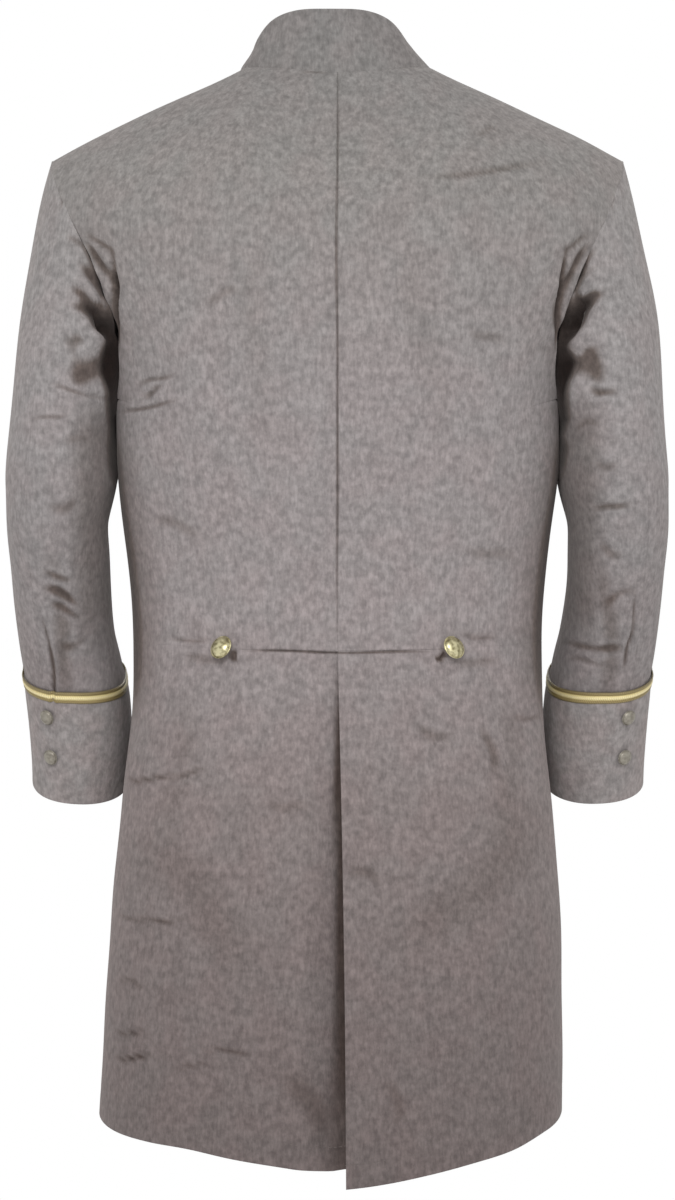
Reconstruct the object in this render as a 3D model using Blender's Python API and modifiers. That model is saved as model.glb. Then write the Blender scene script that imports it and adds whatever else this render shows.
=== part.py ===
"""Frock coat with a stand collar, a waist seam, a lapped centre-back vent and braided cuffs.

The coat keeps the hollow shape that it has when it is worn, with nobody in it. Metres, +Z up. The wearer
faces +Y, so the back of the coat faces -Y and the wearer's right is +X. The origin is at the middle of the
neck, level with the tops of the shoulder seams, where the wearer's shoulders carry the coat.

Places on the body and skirt are given as (turn, z). Turn is the angle round the coat in degrees: 0 at the
centre back, 90 at the side and 180 at the centre front. Each piece is drawn on the right and mirrored.
"""

import math
from collections import namedtuple

import bmesh
import bpy
from mathutils import Vector

# Cloth
WALL = 0.002            # milled wool on its canvas
SEAM = 0.0003           # space between pieces that are sewn edge to edge
LAP = WALL + SEAM       # how far out a piece lies when it is sewn on another
FRONT_LIFT = LAP + 0.0010       # the left front over the right one, which is curved
FRONT_LIFT_ENDS, FRONT_LIFT_SPAN = 0.045, 0.022     # it comes down again at this distance from the middle
CUFF_LIFT = LAP + 0.0004        # the cuff over the sleeve, which is curved
CENTRE_INSET, SEAM_INSET, SIDE_INSET = 0.0010, 0.0012, 0.002    # left free along a seam, as shares of a piece
CHEST_FLAT, CHEST_Z = 0.0014, -0.19         # above CHEST_Z the front's flat faces span its hollow curve
SHOULDER_PARTING = 0.0002       # each side of the shoulder seam
SIDES = (("right", 1), ("left", -1))

# Body and skirt: half the width, and the depth behind and in front of the middle, at each height
Ring = namedtuple("Ring", "z half back front")
BODY = (
    Ring(0.020, 0.312, 0.100, 0.085),
    Ring(-0.080, 0.300, 0.122, 0.108),
    Ring(-0.140, 0.273, 0.136, 0.130),
    Ring(-0.200, 0.236, 0.142, 0.145),
    Ring(-0.250, 0.214, 0.142, 0.151),
    Ring(-0.300, 0.2045, 0.138, 0.152),
    Ring(-0.370, 0.2022, 0.128, 0.147),
    Ring(-0.450, 0.1915, 0.117, 0.139),
    Ring(-0.490, 0.1882, 0.114, 0.136),
    Ring(-0.530, 0.1870, 0.114, 0.135),
    Ring(-0.575, 0.1882, 0.121, 0.138),
    Ring(-0.667, 0.1970, 0.137, 0.146),
    Ring(-0.760, 0.2045, 0.149, 0.152),
    Ring(-0.850, 0.2088, 0.158, 0.158),
    Ring(-0.950, 0.2110, 0.165, 0.163),
    Ring(-1.010, 0.2115, 0.168, 0.165),
)
SQUARE = 2.3            # 2 is an ellipse, more is squarer
ROUND = 0.13            # height in which the shoulders round over into the back and chest

# Neck and shoulder seams
NECK_HALF = 0.0865
NECK_BACK, NECK_FRONT = 0.068, 0.085
SHOULDER_TURN = 75      # where the shoulder seam meets the collar, in degrees round the neck
NECK_BACK_Z, NECK_SIDE_Z, NECK_FRONT_Z = -0.0095, 0.003, -0.062
SHOULDER_FALL = 0.46    # drop of the shoulder seam for each metre outwards
SHOULDER_TIP_X = 0.262
TIP_Y = 0.004

# Waist and hem
WAIST_Z, WAIST_RISE = -0.5285, 0.008
Hem = namedtuple("Hem", "turn left right")      # the right tail hangs lower than the left
HEM = (Hem(0, -0.9785, -0.9910), Hem(8, -0.9730, -0.9880), Hem(21, -0.9665, -0.9800),
       Hem(33, -0.9610, -0.9725), Hem(47, -0.9590, -0.9655), Hem(62, -0.9560, -0.9550),
       Hem(90, -0.9470, -0.9450), Hem(180, -0.9480, -0.9480))
HEM_SWAY = 0.0055       # the skirts hang this much to the wearer's left at the hem
HEM_WAVE, WAVE_TURNS, WAVE_START = 0.0035, 5, 20    # the skirts wave in and out at the hem
VENT_LAP = 0.028        # the left skirt runs on under the right one by this much
UNDER_FOLD, UNDER_WIDE = 0.012, 0.034       # it stands this far in there, over this width
OVER_FOLD, OVER_WIDE = 0.004, 0.050         # and the right one stands out
VENT_LEAN = 0.013       # the right skirt's edge leans this far to its own side at the hem
FRONT_LAP = 0.020       # each front runs on past the centre front by this much

# Armhole and seams, as points (turn, z)
Spot = namedtuple("Spot", "turn z")
ARM_BACK = (Spot(59.5, -0.120), Spot(60, -0.160), Spot(62, -0.200), Spot(65.5, -0.245), Spot(70, -0.283),
            Spot(76, -0.303))
ARM_FRONT = (Spot(121.5, -0.120), Spot(123, -0.160), Spot(124, -0.200), Spot(120.5, -0.250),
             Spot(110, -0.292), Spot(96, -0.310))
SIDE_BACK_SEAM = (Spot(76, -0.303), Spot(60, -0.311), Spot(48, -0.322), Spot(40, -0.338),
                  Spot(35.5, -0.358), Spot(32.7, -0.385), Spot(30.5, -0.440), Spot(29.3, WAIST_Z))
UNDERARM_SEAM = (Spot(96, -0.310), Spot(94.5, -0.380), Spot(93.5, -0.450), Spot(93, WAIST_Z))
ARM_BACK_ROWS, UNDER_COLUMNS, ARM_FRONT_ROWS, SEAM_ROWS = 7, 4, 7, 9
SHOULDER_ROWS = (0.001, 0.014)          # extra rows where the shoulder rounds over, as shares of the piece

# Collar
COLLAR_HALF, COLLAR_BACK, COLLAR_FRONT = 0.071, 0.060, 0.068
CollarEdge = namedtuple("CollarEdge", "turn z")
COLLAR_TOP = (CollarEdge(0, 0.0490), CollarEdge(28, 0.0485), CollarEdge(48, 0.0430), CollarEdge(68, 0.031),
              CollarEdge(90, 0.018), CollarEdge(130, -0.004), CollarEdge(180, -0.014))
COLLAR_SWAY = 0.006     # the collar's top stands this much to the wearer's left
COLLAR_OPEN_TURN = 176  # the two ends stand a little apart at the front
COLLAR_RISE, COLLAR_RISE_FRONT = 0.0012, 0.0021     # the collar's foot stands clear of the slanting neckline
COLLAR_THICK = 0.003    # it is cut double

# Sleeve: middle and half sizes at each height, below the armhole
Arm = namedtuple("Arm", "z x y half deep")
SLEEVE = (
    Arm(-0.335, 0.2530, -0.003, 0.0486, 0.083),
    Arm(-0.372, 0.2537, -0.005, 0.0503, 0.080),
    Arm(-0.410, 0.2577, -0.003, 0.0458, 0.075),
    Arm(-0.446, 0.2562, 0.004, 0.0443, 0.071),
    Arm(-0.483, 0.2543, 0.013, 0.0438, 0.068),
    Arm(-0.520, 0.2505, 0.023, 0.0439, 0.066),
    Arm(-0.557, 0.2437, 0.034, 0.0452, 0.063),
    Arm(-0.593, 0.2408, 0.045, 0.0450, 0.061),
    Arm(-0.630, 0.2406, 0.056, 0.0438, 0.060),
    Arm(-0.652, 0.2417, 0.063, 0.0430, 0.060),
    Arm(-0.680, 0.2428, 0.0715, 0.0426, 0.059),
)
WRIST_Z = -0.652
SLEEVE_SQUARE = 2.25
CAP = 0.42              # share of the sleeve's rows between the armhole and the first ring
HIND_COLUMN, FORE_COLUMN = 2, 14        # columns of the two sleeve seams, counted from the shoulder tip
HIND_ANGLE, FORE_ANGLE = 66, 250        # where those seams run below the elbow, in degrees round the arm
CAP_CLEAR, CAP_FULL = 0.0006, 0.0004    # the cap stands off the body here, and fuller at the shoulder tip
CAP_LEAVE, CAP_LEAN, CAP_PULL = 0.22, 0.08, 0.36        # how its rows set out from the armhole
SEAM_GAP, SEAM_STRIP = 0.007, 0.07      # at the sleeve's seams, in columns
CUFF_HEIGHT, CUFF_SLANT = 0.095, 0.022  # its upper edge rises this much more outside than inside
CUFF_PEAK, PEAK_ANGLE, PEAK_SPREAD = 0.022, 310, 52
ARM_SLOPE = 1.04        # the arm slopes forwards, so it is longer than its drop

# Braid and buttons
BRAID_WIDE, BRAID_THICK = 0.0062, 0.0013
BRAID_BELOW = 0.15      # the cuff's edge shows above its braid by this share of the braid's width
KNOT_WIDE, KNOT_RIM = 0.0050, 0.8       # its upper face is this share of its width
ARM_RADIUS, KNOT_CLEAR = 58, 4.2        # mm, for laying the knot round the arm and above the cuff
Loop = namedtuple("Loop", "across up over")
KNOT = (Loop(-52, -28, 0), Loop(-30, 8, 0), Loop(-10, 34, 0), Loop(6, 53, 0), Loop(24, 70, 0),
        Loop(37, 90, 0), Loop(32, 109, 0), Loop(15, 113, 0.5), Loop(-3, 104, 1), Loop(-17, 113, 0.3),
        Loop(-22, 134, 0), Loop(-15, 156, 0), Loop(0, 167, 0))
BUTTON_WIDE, SMALL_BUTTON_WIDE = 0.0215, 0.0145
FRONT_BUTTON_ROWS = range(1, ARM_BACK_ROWS + SEAM_ROWS, 2)     # rows of the front's grid, from the neck
CUFF_BUTTON_DROPS = (0.024, 0.064)
DOME, RIM, SHANK, POST = 0.22, 0.07, 0.16, 0.16     # as shares of a button's width
BUTTON_SIDES = 12

WOOL = (0.285, 0.262, 0.255)
CUFF_WOOL = (0.262, 0.250, 0.250)
GILT = (0.72, 0.50, 0.16)


def along(rows, column, at):
    """The value of a table's column at a place between its rows, on a smooth curve through them."""
    keys = [row[0] for row in rows]
    values = [getattr(row, column) for row in rows]
    if keys[0] > keys[-1]:
        keys, values = keys[::-1], values[::-1]
    if at <= keys[0]:
        return values[0]
    if at >= keys[-1]:
        return values[-1]
    k = next(i for i in range(len(keys) - 1) if at <= keys[i + 1])
    span = keys[k + 1] - keys[k]
    steepness = [(values[i + 1] - values[i]) / (keys[i + 1] - keys[i]) for i in range(len(keys) - 1)]
    first = steepness[k] if k == 0 else (steepness[k - 1] + steepness[k]) / 2
    last = steepness[k] if k == len(steepness) - 1 else (steepness[k] + steepness[k + 1]) / 2
    t = (at - keys[k]) / span
    return (values[k] * (1 + 2 * t) * (1 - t) ** 2 + values[k + 1] * t * t * (3 - 2 * t)
            + span * (first * t * (1 - t) ** 2 - last * t * t * (1 - t)))


def on_curve(points, t):
    """A point at share t of a smooth curve through the given points, each stretch as long as it measures."""
    lengths = [0]
    for one, other in zip(points, points[1:]):
        lengths.append(lengths[-1] + math.dist(one, other))
    place = t * lengths[-1]
    k = next((i for i in range(len(points) - 1) if place <= lengths[i + 1]), len(points) - 2)
    w = (place - lengths[k]) / (lengths[k + 1] - lengths[k])
    before, start = points[max(k - 1, 0)], points[k]
    end, after = points[k + 1], points[min(k + 2, len(points) - 1)]
    return [0.5 * (2 * b + (c - a) * w + (2 * a - 5 * b + 4 * c - d) * w * w
                   + (3 * b - a - 3 * c + d) * w ** 3)
            for a, b, c, d in zip(before, start, end, after)]


def seam_spot(spots, t):
    """A place (turn, z) at share t of a seam. Degrees are weighed as millimetres on the cloth."""
    turn, z = on_curve([(spot.turn * 3, spot.z * 1000) for spot in spots], t)
    return turn / 3, z / 1000


def ease(t):
    t = min(max(t, 0), 1)
    return t * t * (3 - 2 * t)


def neck_point(turn):
    """The neckline, where the collar is sewn on."""
    if turn <= SHOULDER_TURN:
        angle = math.radians(turn)
        share = math.sin(angle) / math.sin(math.radians(SHOULDER_TURN))
        z = NECK_BACK_Z + (NECK_SIDE_Z - NECK_BACK_Z) * share ** 2
        return Vector((NECK_HALF * math.sin(angle), -NECK_BACK * math.cos(angle), z))
    side = neck_point(SHOULDER_TURN)
    share = (turn - SHOULDER_TURN) / (180 - SHOULDER_TURN)
    quarter = math.radians(90 * share)
    return Vector((side.x * math.cos(quarter), side.y + (NECK_FRONT - side.y) * math.sin(quarter),
                   NECK_SIDE_Z + (NECK_FRONT_Z - NECK_SIDE_Z) * share ** 1.15))


def top_edge(x, behind):
    """(y, z) of the neckline or shoulder seam at a distance x from the middle."""
    side = neck_point(SHOULDER_TURN)
    if x >= side.x:
        share = (x - side.x) / (SHOULDER_TIP_X - side.x)
        return side.y + (TIP_Y - side.y) * share, NECK_SIDE_Z - SHOULDER_FALL * (x - side.x)
    if behind:
        turn = math.degrees(math.asin(x / NECK_HALF))
    else:
        turn = SHOULDER_TURN + (180 - SHOULDER_TURN) * math.acos(x / side.x) / (math.pi / 2)
    edge = neck_point(turn)
    return edge.y, edge.z


def body_point(turn, z, out=0.0):
    """A point of the body or skirt, moved outwards by out."""
    angle = math.radians(turn)
    sine, cosine = math.sin(angle), math.cos(angle)
    x = along(BODY, "half", z) * math.copysign(abs(sine) ** (2 / SQUARE), sine)
    depth = along(BODY, "back" if cosine > 0 else "front", z)
    y = -math.copysign(depth * abs(cosine) ** (2 / SQUARE), cosine)
    top_y, top_z = top_edge(min(abs(x), SHOULDER_TIP_X), cosine > 0)
    share = (top_z - z) / ROUND
    if share < 1:
        fullness = 1.3 + 0.7 * min(1, (x / NECK_HALF) ** 2)
        rise = (1 - (1 - max(share, 0)) ** fullness) ** (1 / fullness)
        y = top_y + (y - top_y) * rise
    point = Vector((x, y, z))
    if out:
        flat = Vector((x / along(BODY, "half", z) ** 2, y / depth ** 2, 0))
        point += flat.normalized() * out
    return point


def turn_of(x, z):
    """The turn at which the body is x from the middle, behind."""
    share = x / along(BODY, "half", z)
    return math.degrees(math.asin(math.copysign(abs(share) ** (SQUARE / 2), share)))


def waist_z(turn):
    return WAIST_Z + WAIST_RISE * math.sin(math.radians(turn)) ** 2


def hem_z(turn, side):
    return along(HEM, "right" if side > 0 else "left", abs(turn))


def arm_back(t):
    tip = Spot(turn_of(SHOULDER_TIP_X, shoulder_tip_z()), shoulder_tip_z())
    return seam_spot((tip,) + ARM_BACK, t)


def arm_front(t):
    tip = Spot(180 - turn_of(SHOULDER_TIP_X, shoulder_tip_z()), shoulder_tip_z())
    return seam_spot((tip,) + ARM_FRONT, t)


def arm_under(t):
    first, last = ARM_BACK[-1], ARM_FRONT[-1]
    sag = 0.003 * math.sin(math.pi * t)
    return first.turn + (last.turn - first.turn) * t, first.z + (last.z - first.z) * t - sag


def shoulder_tip_z():
    return top_edge(SHOULDER_TIP_X, True)[1]


def back_top(u):
    """Neckline, then shoulder seam, from the centre back to the shoulder tip."""
    neck_share = 0.36
    if u <= neck_share:
        edge = neck_point(SHOULDER_TURN * u / neck_share)
        return turn_of(edge.x, edge.z), edge.z
    side_x = neck_point(SHOULDER_TURN).x
    x = side_x + (SHOULDER_TIP_X - side_x) * (u - neck_share) / (1 - neck_share)
    z = top_edge(x, True)[1]
    return turn_of(x, z), z


def front_top(u, lap):
    """Shoulder seam from the tip, then the neckline, to the edge past the centre front."""
    shoulder_share = 0.52
    side_x = neck_point(SHOULDER_TURN).x
    if u <= shoulder_share:
        x = SHOULDER_TIP_X + (side_x - SHOULDER_TIP_X) * u / shoulder_share
        z = top_edge(x, False)[1]
        return 180 - turn_of(x, z), z
    share = (u - shoulder_share) / (1 - shoulder_share)
    if share <= 0.8:
        edge = neck_point(SHOULDER_TURN + (180 - SHOULDER_TURN) * share / 0.8)
        return 180 - turn_of(edge.x, edge.z), edge.z
    return 180 + turn_of(lap * (share - 0.8) / 0.2, NECK_FRONT_Z), NECK_FRONT_Z


def between(left, right, top, bottom, u, v):
    """A place inside four edges that meet at the corners, each a function of its share."""
    corners = [[(1 - u) * (1 - v), top(0)], [u * (1 - v), top(1)],
               [(1 - u) * v, bottom(0)], [u * v, bottom(1)]]
    return [(1 - u) * a + u * b + (1 - v) * c + v * d - sum(weight * corner[i] for weight, corner in corners)
            for i, (a, b, c, d) in enumerate(zip(left(v), right(v), top(u), bottom(u)))]


def split(first, first_share, second):
    """One edge made of two, the first taking first_share of the way."""
    def edge(v):
        return first(v / first_share) if v <= first_share else second((v - first_share) / (1 - first_share))
    return edge


ARM_SHARE = ARM_BACK_ROWS / (ARM_BACK_ROWS + SEAM_ROWS)


def back_spot(u, v):
    centre = lambda v: (0, NECK_BACK_Z + (WAIST_Z - NECK_BACK_Z) * v)
    edge = split(arm_back, ARM_SHARE, lambda t: seam_spot(SIDE_BACK_SEAM, t))
    waist = lambda u: (SIDE_BACK_SEAM[-1].turn * u, WAIST_Z)
    return between(centre, edge, back_top, waist, u, v)


def side_back_spot(u, v):
    first, last = SIDE_BACK_SEAM[-1].turn, UNDERARM_SEAM[-1].turn
    waist = lambda u: (first + (last - first) * u, WAIST_Z)
    return between(lambda v: seam_spot(SIDE_BACK_SEAM, v), lambda v: seam_spot(UNDERARM_SEAM, v),
                   arm_under, waist, u, v)


def front_spot(u, v):
    edge = split(arm_front, ARM_SHARE, lambda t: seam_spot(UNDERARM_SEAM, t))

    def centre(v):
        z = NECK_FRONT_Z + (WAIST_Z - NECK_FRONT_Z) * v
        return 180 + turn_of(FRONT_LAP, z), z

    last = 180 + turn_of(FRONT_LAP, WAIST_Z)
    waist = lambda u: (UNDERARM_SEAM[-1].turn + (last - UNDERARM_SEAM[-1].turn) * u, WAIST_Z)
    return between(edge, centre, lambda u: front_top(u, FRONT_LAP), waist, u, v)


def raised_waist(turn, z, v):
    """The pieces are drawn to a level waist, which really rises a little towards the sides."""
    return z + (waist_z(turn) - WAIST_Z) * ease(v)


def front_lift(side, x):
    """The left front lies over the right one at the centre front. x is the distance to its own side."""
    return FRONT_LIFT * ease((FRONT_LIFT_ENDS - x) / FRONT_LIFT_SPAN) if side < 0 else 0.0


def panel_place(spot, side, inset=(0, 0), parting=0.0):
    """Places the points of a body piece, drawn by spot, with half a seam left free along its edges."""
    def place(u, v):
        turn, z = spot(inset[0] + u * (1 - inset[0] - inset[1]), v)
        point = body_point(turn, raised_waist(turn, z, v))
        if turn > 90:
            point = body_point(turn, raised_waist(turn, z, v), front_lift(side, point.x))
        return Vector((side * point.x, point.y + parting, point.z))
    return place


def skirt_point(side, turn, v, out=0.0):
    """A point of a skirt at a share v of the way from the waist seam down to the hem."""
    top, hem = waist_z(turn), hem_z(turn, side)
    z = top - SEAM + (hem - top) * v
    wave = (HEM_WAVE * v * v * math.cos(math.radians(turn * WAVE_TURNS + WAVE_START))
            * math.sin(math.radians(min(turn, 180))) ** 2)
    x = body_point(turn, z).x
    lift = front_lift(side, x) if turn > 90 else 0.0
    if turn < 60:
        if side < 0:
            fold = UNDER_FOLD * math.sin(math.pi * min(v * 1.25, 1) / 2)
            lift -= (LAP + fold) * ease((UNDER_WIDE - x) / UNDER_WIDE)
        else:
            lift += OVER_FOLD * v * ease((OVER_WIDE - x) / OVER_WIDE)
    point = body_point(turn, z, wave + lift + out)
    return Vector((side * point.x - HEM_SWAY * v * v, point.y, point.z))


def loop_point(column):
    """The armhole, from the shoulder tip down behind, under the arm and up in front."""
    low = ARM_BACK_ROWS + UNDER_COLUMNS
    if column <= ARM_BACK_ROWS:
        spot = arm_back(column / ARM_BACK_ROWS)
    elif column <= low:
        spot = arm_under((column - ARM_BACK_ROWS) / UNDER_COLUMNS)
    else:
        spot = arm_front(1 - (column - low) / ARM_FRONT_ROWS)
    return body_point(*spot)


COLUMNS = ARM_BACK_ROWS + UNDER_COLUMNS + ARM_FRONT_ROWS


def arm_angle(column):
    """The angle round the arm of a column: 0 outside, 90 behind, 180 against the body."""
    if column <= HIND_COLUMN:
        start = FORE_ANGLE - 360
        share = (column + COLUMNS - FORE_COLUMN) / (HIND_COLUMN + COLUMNS - FORE_COLUMN)
        return start + (HIND_ANGLE - start) * share
    if column <= FORE_COLUMN:
        return HIND_ANGLE + (FORE_ANGLE - HIND_ANGLE) * (column - HIND_COLUMN) / (FORE_COLUMN - HIND_COLUMN)
    share = (column - FORE_COLUMN) / (HIND_COLUMN + COLUMNS - FORE_COLUMN)
    return FORE_ANGLE + (HIND_ANGLE + 360 - FORE_ANGLE) * share


def arm_ring(angle, z):
    """A point of the sleeve below the armhole. The ring at height z is square to the run of the arm."""
    middle = Vector([along(SLEEVE, column, z) for column in ("x", "y")] + [z])
    step = 0.01
    run = middle - Vector([along(SLEEVE, column, z + step) for column in ("x", "y")] + [z + step])
    run.normalize()
    across = (Vector((1, 0, 0)) - run * run.x).normalized()
    behind = run.cross(across)
    if behind.y > 0:
        behind.negate()
    turned = math.radians(angle)
    sine, cosine = math.sin(turned), math.cos(turned)
    power = 2 / SLEEVE_SQUARE
    return (middle + across * along(SLEEVE, "half", z) * math.copysign(abs(cosine) ** power, cosine)
            + behind * along(SLEEVE, "deep", z) * math.copysign(abs(sine) ** power, sine))


def sleeve_point(column, v):
    """A point of the right sleeve: columns run round the arm, v runs down from the armhole to the wrist."""
    column %= COLUMNS
    angle = arm_angle(column)
    first_z, last_z = SLEEVE[0].z, WRIST_Z
    if v >= CAP:
        return arm_ring(angle, first_z + (last_z - first_z) * (v - CAP) / (1 - CAP))
    top = loop_point(column)
    high = 0.5 + 0.5 * math.cos(math.radians(angle))
    top.x += SEAM + CAP_CLEAR + (WALL + CAP_FULL) * high ** 2
    low = arm_ring(angle, first_z)
    reach = (low - top).length
    leave = Vector((CAP_LEAVE * high + CAP_LEAN, 0, -1)).normalized()
    arrive = (arm_ring(angle, first_z - 0.01) - low).normalized()
    one, other = top + leave * reach * CAP_PULL, low - arrive * reach * CAP_PULL
    t = v / CAP
    return (top * (1 - t) ** 3 + one * 3 * t * (1 - t) ** 2 + other * 3 * t * t * (1 - t) + low * t ** 3)


def outwards(place, u, v, distance, step=0.004):
    """A point moved square out from a surface whose u runs to the right of its v, seen from outside."""
    down = place(u, v + step) - place(u, v - step)
    right = place(u + step, v) - place(u - step, v)
    return place(u, v) + down.cross(right).normalized() * distance


def sleeve_out(column, v, distance):
    return outwards(lambda u, v: sleeve_point(-u, v), -column, min(v, 1), distance)


def cuff_v(column):
    """The share of the sleeve at which the cuff's upper edge runs. It rises to a point outside."""
    length = (SLEEVE[0].z - WRIST_Z) * ARM_SLOPE
    angle = arm_angle(column)
    away = abs((angle - PEAK_ANGLE + 180) % 360 - 180)
    rise = (CUFF_HEIGHT + CUFF_SLANT * (0.5 + 0.5 * math.cos(math.radians(angle)))
            + CUFF_PEAK * max(0, 1 - away / PEAK_SPREAD) ** 0.9)
    return 1 - (1 - CAP) * rise / length


def material(name, colour, roughness, metallic=0.0):
    made = bpy.data.materials.new(name)
    made.use_nodes = True
    shader = made.node_tree.nodes["Principled BSDF"]
    shader.inputs["Base Color"].default_value = (*colour, 1)
    shader.inputs["Roughness"].default_value = roughness
    shader.inputs["Metallic"].default_value = metallic
    return made


def finish(name, mesh, look):
    mesh.shade_smooth()
    mesh.materials.append(material(name, *look))
    piece = bpy.data.objects.new(name, mesh)
    COAT.objects.link(piece)
    return piece


def cloth(name, place, across, down, look, flip=False, closed=False, thick=WALL):
    """A wall of cloth on a grid of points. Its outer face is where place puts it."""
    count = len(across)
    mesh = bpy.data.meshes.new(name)
    grid = bmesh.new()
    rows = [[grid.verts.new(place(u, v)) for u in across] for v in down]
    for upper, lower in zip(rows, rows[1:]):
        for k in range(count if closed else count - 1):
            corners = [upper[k], lower[k], lower[(k + 1) % count], upper[(k + 1) % count]]
            grid.faces.new(corners[::-1] if flip else corners)
    grid.to_mesh(mesh)
    grid.free()
    piece = finish(name, mesh, look)
    wall = piece.modifiers.new("Wall", "SOLIDIFY")
    wall.thickness = thick
    wall.offset = -1
    return piece


def steps(count, first=0.0, last=1.0):
    return [first + (last - first) * k / count for k in range(count + 1)]


WOOL_LOOK = (WOOL, 0.95)
GILT_LOOK = (GILT, 0.35, 0.9)


def make_body():
    """Backs, side bodies and fronts, sewn edge to edge."""
    rows = [0, *SHOULDER_ROWS] + steps(ARM_BACK_ROWS + SEAM_ROWS)[1:]
    for word, side in SIDES:
        flip = side < 0
        back = panel_place(back_spot, side, (CENTRE_INSET, SEAM_INSET), -SHOULDER_PARTING)
        side_back = panel_place(side_back_spot, side, (SIDE_INSET, SIDE_INSET))
        front = panel_place(front_spot, side, (SEAM_INSET, 0), SHOULDER_PARTING)
        cloth(f"back_{word}", back, steps(8), rows, WOOL_LOOK, flip)
        cloth(f"side_back_{word}", side_back, steps(UNDER_COLUMNS), steps(SEAM_ROWS), WOOL_LOOK, flip)
        cloth(f"front_{word}", front, steps(13), rows, WOOL_LOOK, flip)


def make_skirts():
    """The right skirt laps over the left one at the centre back."""
    for word, side in SIDES:
        def place(u, v, side=side):
            z = waist_z(0) + (hem_z(0, side) - waist_z(0)) * v
            start = turn_of(VENT_LEAN * v if side > 0 else -VENT_LAP, z)
            end = 180 + turn_of(FRONT_LAP, z)
            return skirt_point(side, start + (end - start) * u ** 1.15, v)
        cloth(f"skirt_{word}", place, steps(25), steps(10), WOOL_LOOK, side < 0)


def make_collar():
    def place(u, v):
        turn = COLLAR_OPEN_TURN * (2 * u - 1)
        side = math.copysign(1, turn)
        turn = abs(turn)
        angle = math.radians(turn)
        rise = COLLAR_RISE + (COLLAR_RISE_FRONT - COLLAR_RISE) * turn / 180
        low = neck_point(turn) + Vector((0, 0, rise))
        depth = COLLAR_BACK if turn < 90 else COLLAR_FRONT
        high = Vector((COLLAR_HALF * math.sin(angle), -depth * math.cos(angle), along(COLLAR_TOP, "z", turn)))
        point = high + (low - high) * v
        return Vector((side * point.x - COLLAR_SWAY * (1 - v), point.y, point.z))
    cloth("collar", place, steps(32), steps(3), WOOL_LOOK, thick=COLLAR_THICK)


def make_sleeves():
    """Each sleeve is two pieces, seamed at the hind arm and the fore arm."""
    rows = steps(17)
    def columns(first, last, count):
        """Columns across one piece, with a narrow one along each seam to keep the walls apart."""
        inner = steps(count, first, last)[1:-1]
        return [first + SEAM_GAP, first + SEAM_GAP + SEAM_STRIP, *inner, last - SEAM_GAP - SEAM_STRIP,
                last - SEAM_GAP]

    top = columns(FORE_COLUMN - COLUMNS, HIND_COLUMN, 2 * (HIND_COLUMN + COLUMNS - FORE_COLUMN))
    under = columns(HIND_COLUMN, FORE_COLUMN, FORE_COLUMN - HIND_COLUMN)
    for word, side in SIDES:
        def place(column, v, side=side):
            point = sleeve_point(column, v)
            return Vector((side * point.x, point.y, point.z))
        cloth(f"sleeve_top_{word}", place, top, rows, WOOL_LOOK, side > 0)
        cloth(f"sleeve_under_{word}", place, under, rows, WOOL_LOOK, side > 0)


def make_cuffs():
    """An applied cuff, rising to a point outside, with gold braid along its upper edge."""
    columns = steps(COLUMNS * 2, 0, COLUMNS)[:-1]
    for word, side in SIDES:
        def place(column, share, side=side, out=CUFF_LIFT):
            top = cuff_v(column)
            point = sleeve_out(column, top + (1 - top) * share, out)
            return Vector((side * point.x, point.y, point.z))
        cloth(f"cuff_{word}", place, columns, steps(4), (CUFF_WOOL, 0.95), side > 0, closed=True)

        def braid(column, share, side=side):
            width = BRAID_WIDE / (SLEEVE[0].z - WRIST_Z) * (1 - CAP)
            v = cuff_v(column) + width * (share + BRAID_BELOW)
            point = sleeve_out(column, v, CUFF_LIFT + SEAM + BRAID_THICK)
            return Vector((side * point.x, point.y, point.z))
        cloth(f"cuff_braid_{word}", braid, columns, steps(1), GILT_LOOK, side > 0, closed=True,
              thick=BRAID_THICK)


def knot_path(count):
    """The braid knot's middle line as (across, up, over), all round: up one side, over the top, down."""
    half = [on_curve(KNOT, k / count) for k in range(count + 1)]
    other = [(-across, up, 0) for across, up, over in half[-2::-1]]
    return half + other


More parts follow.
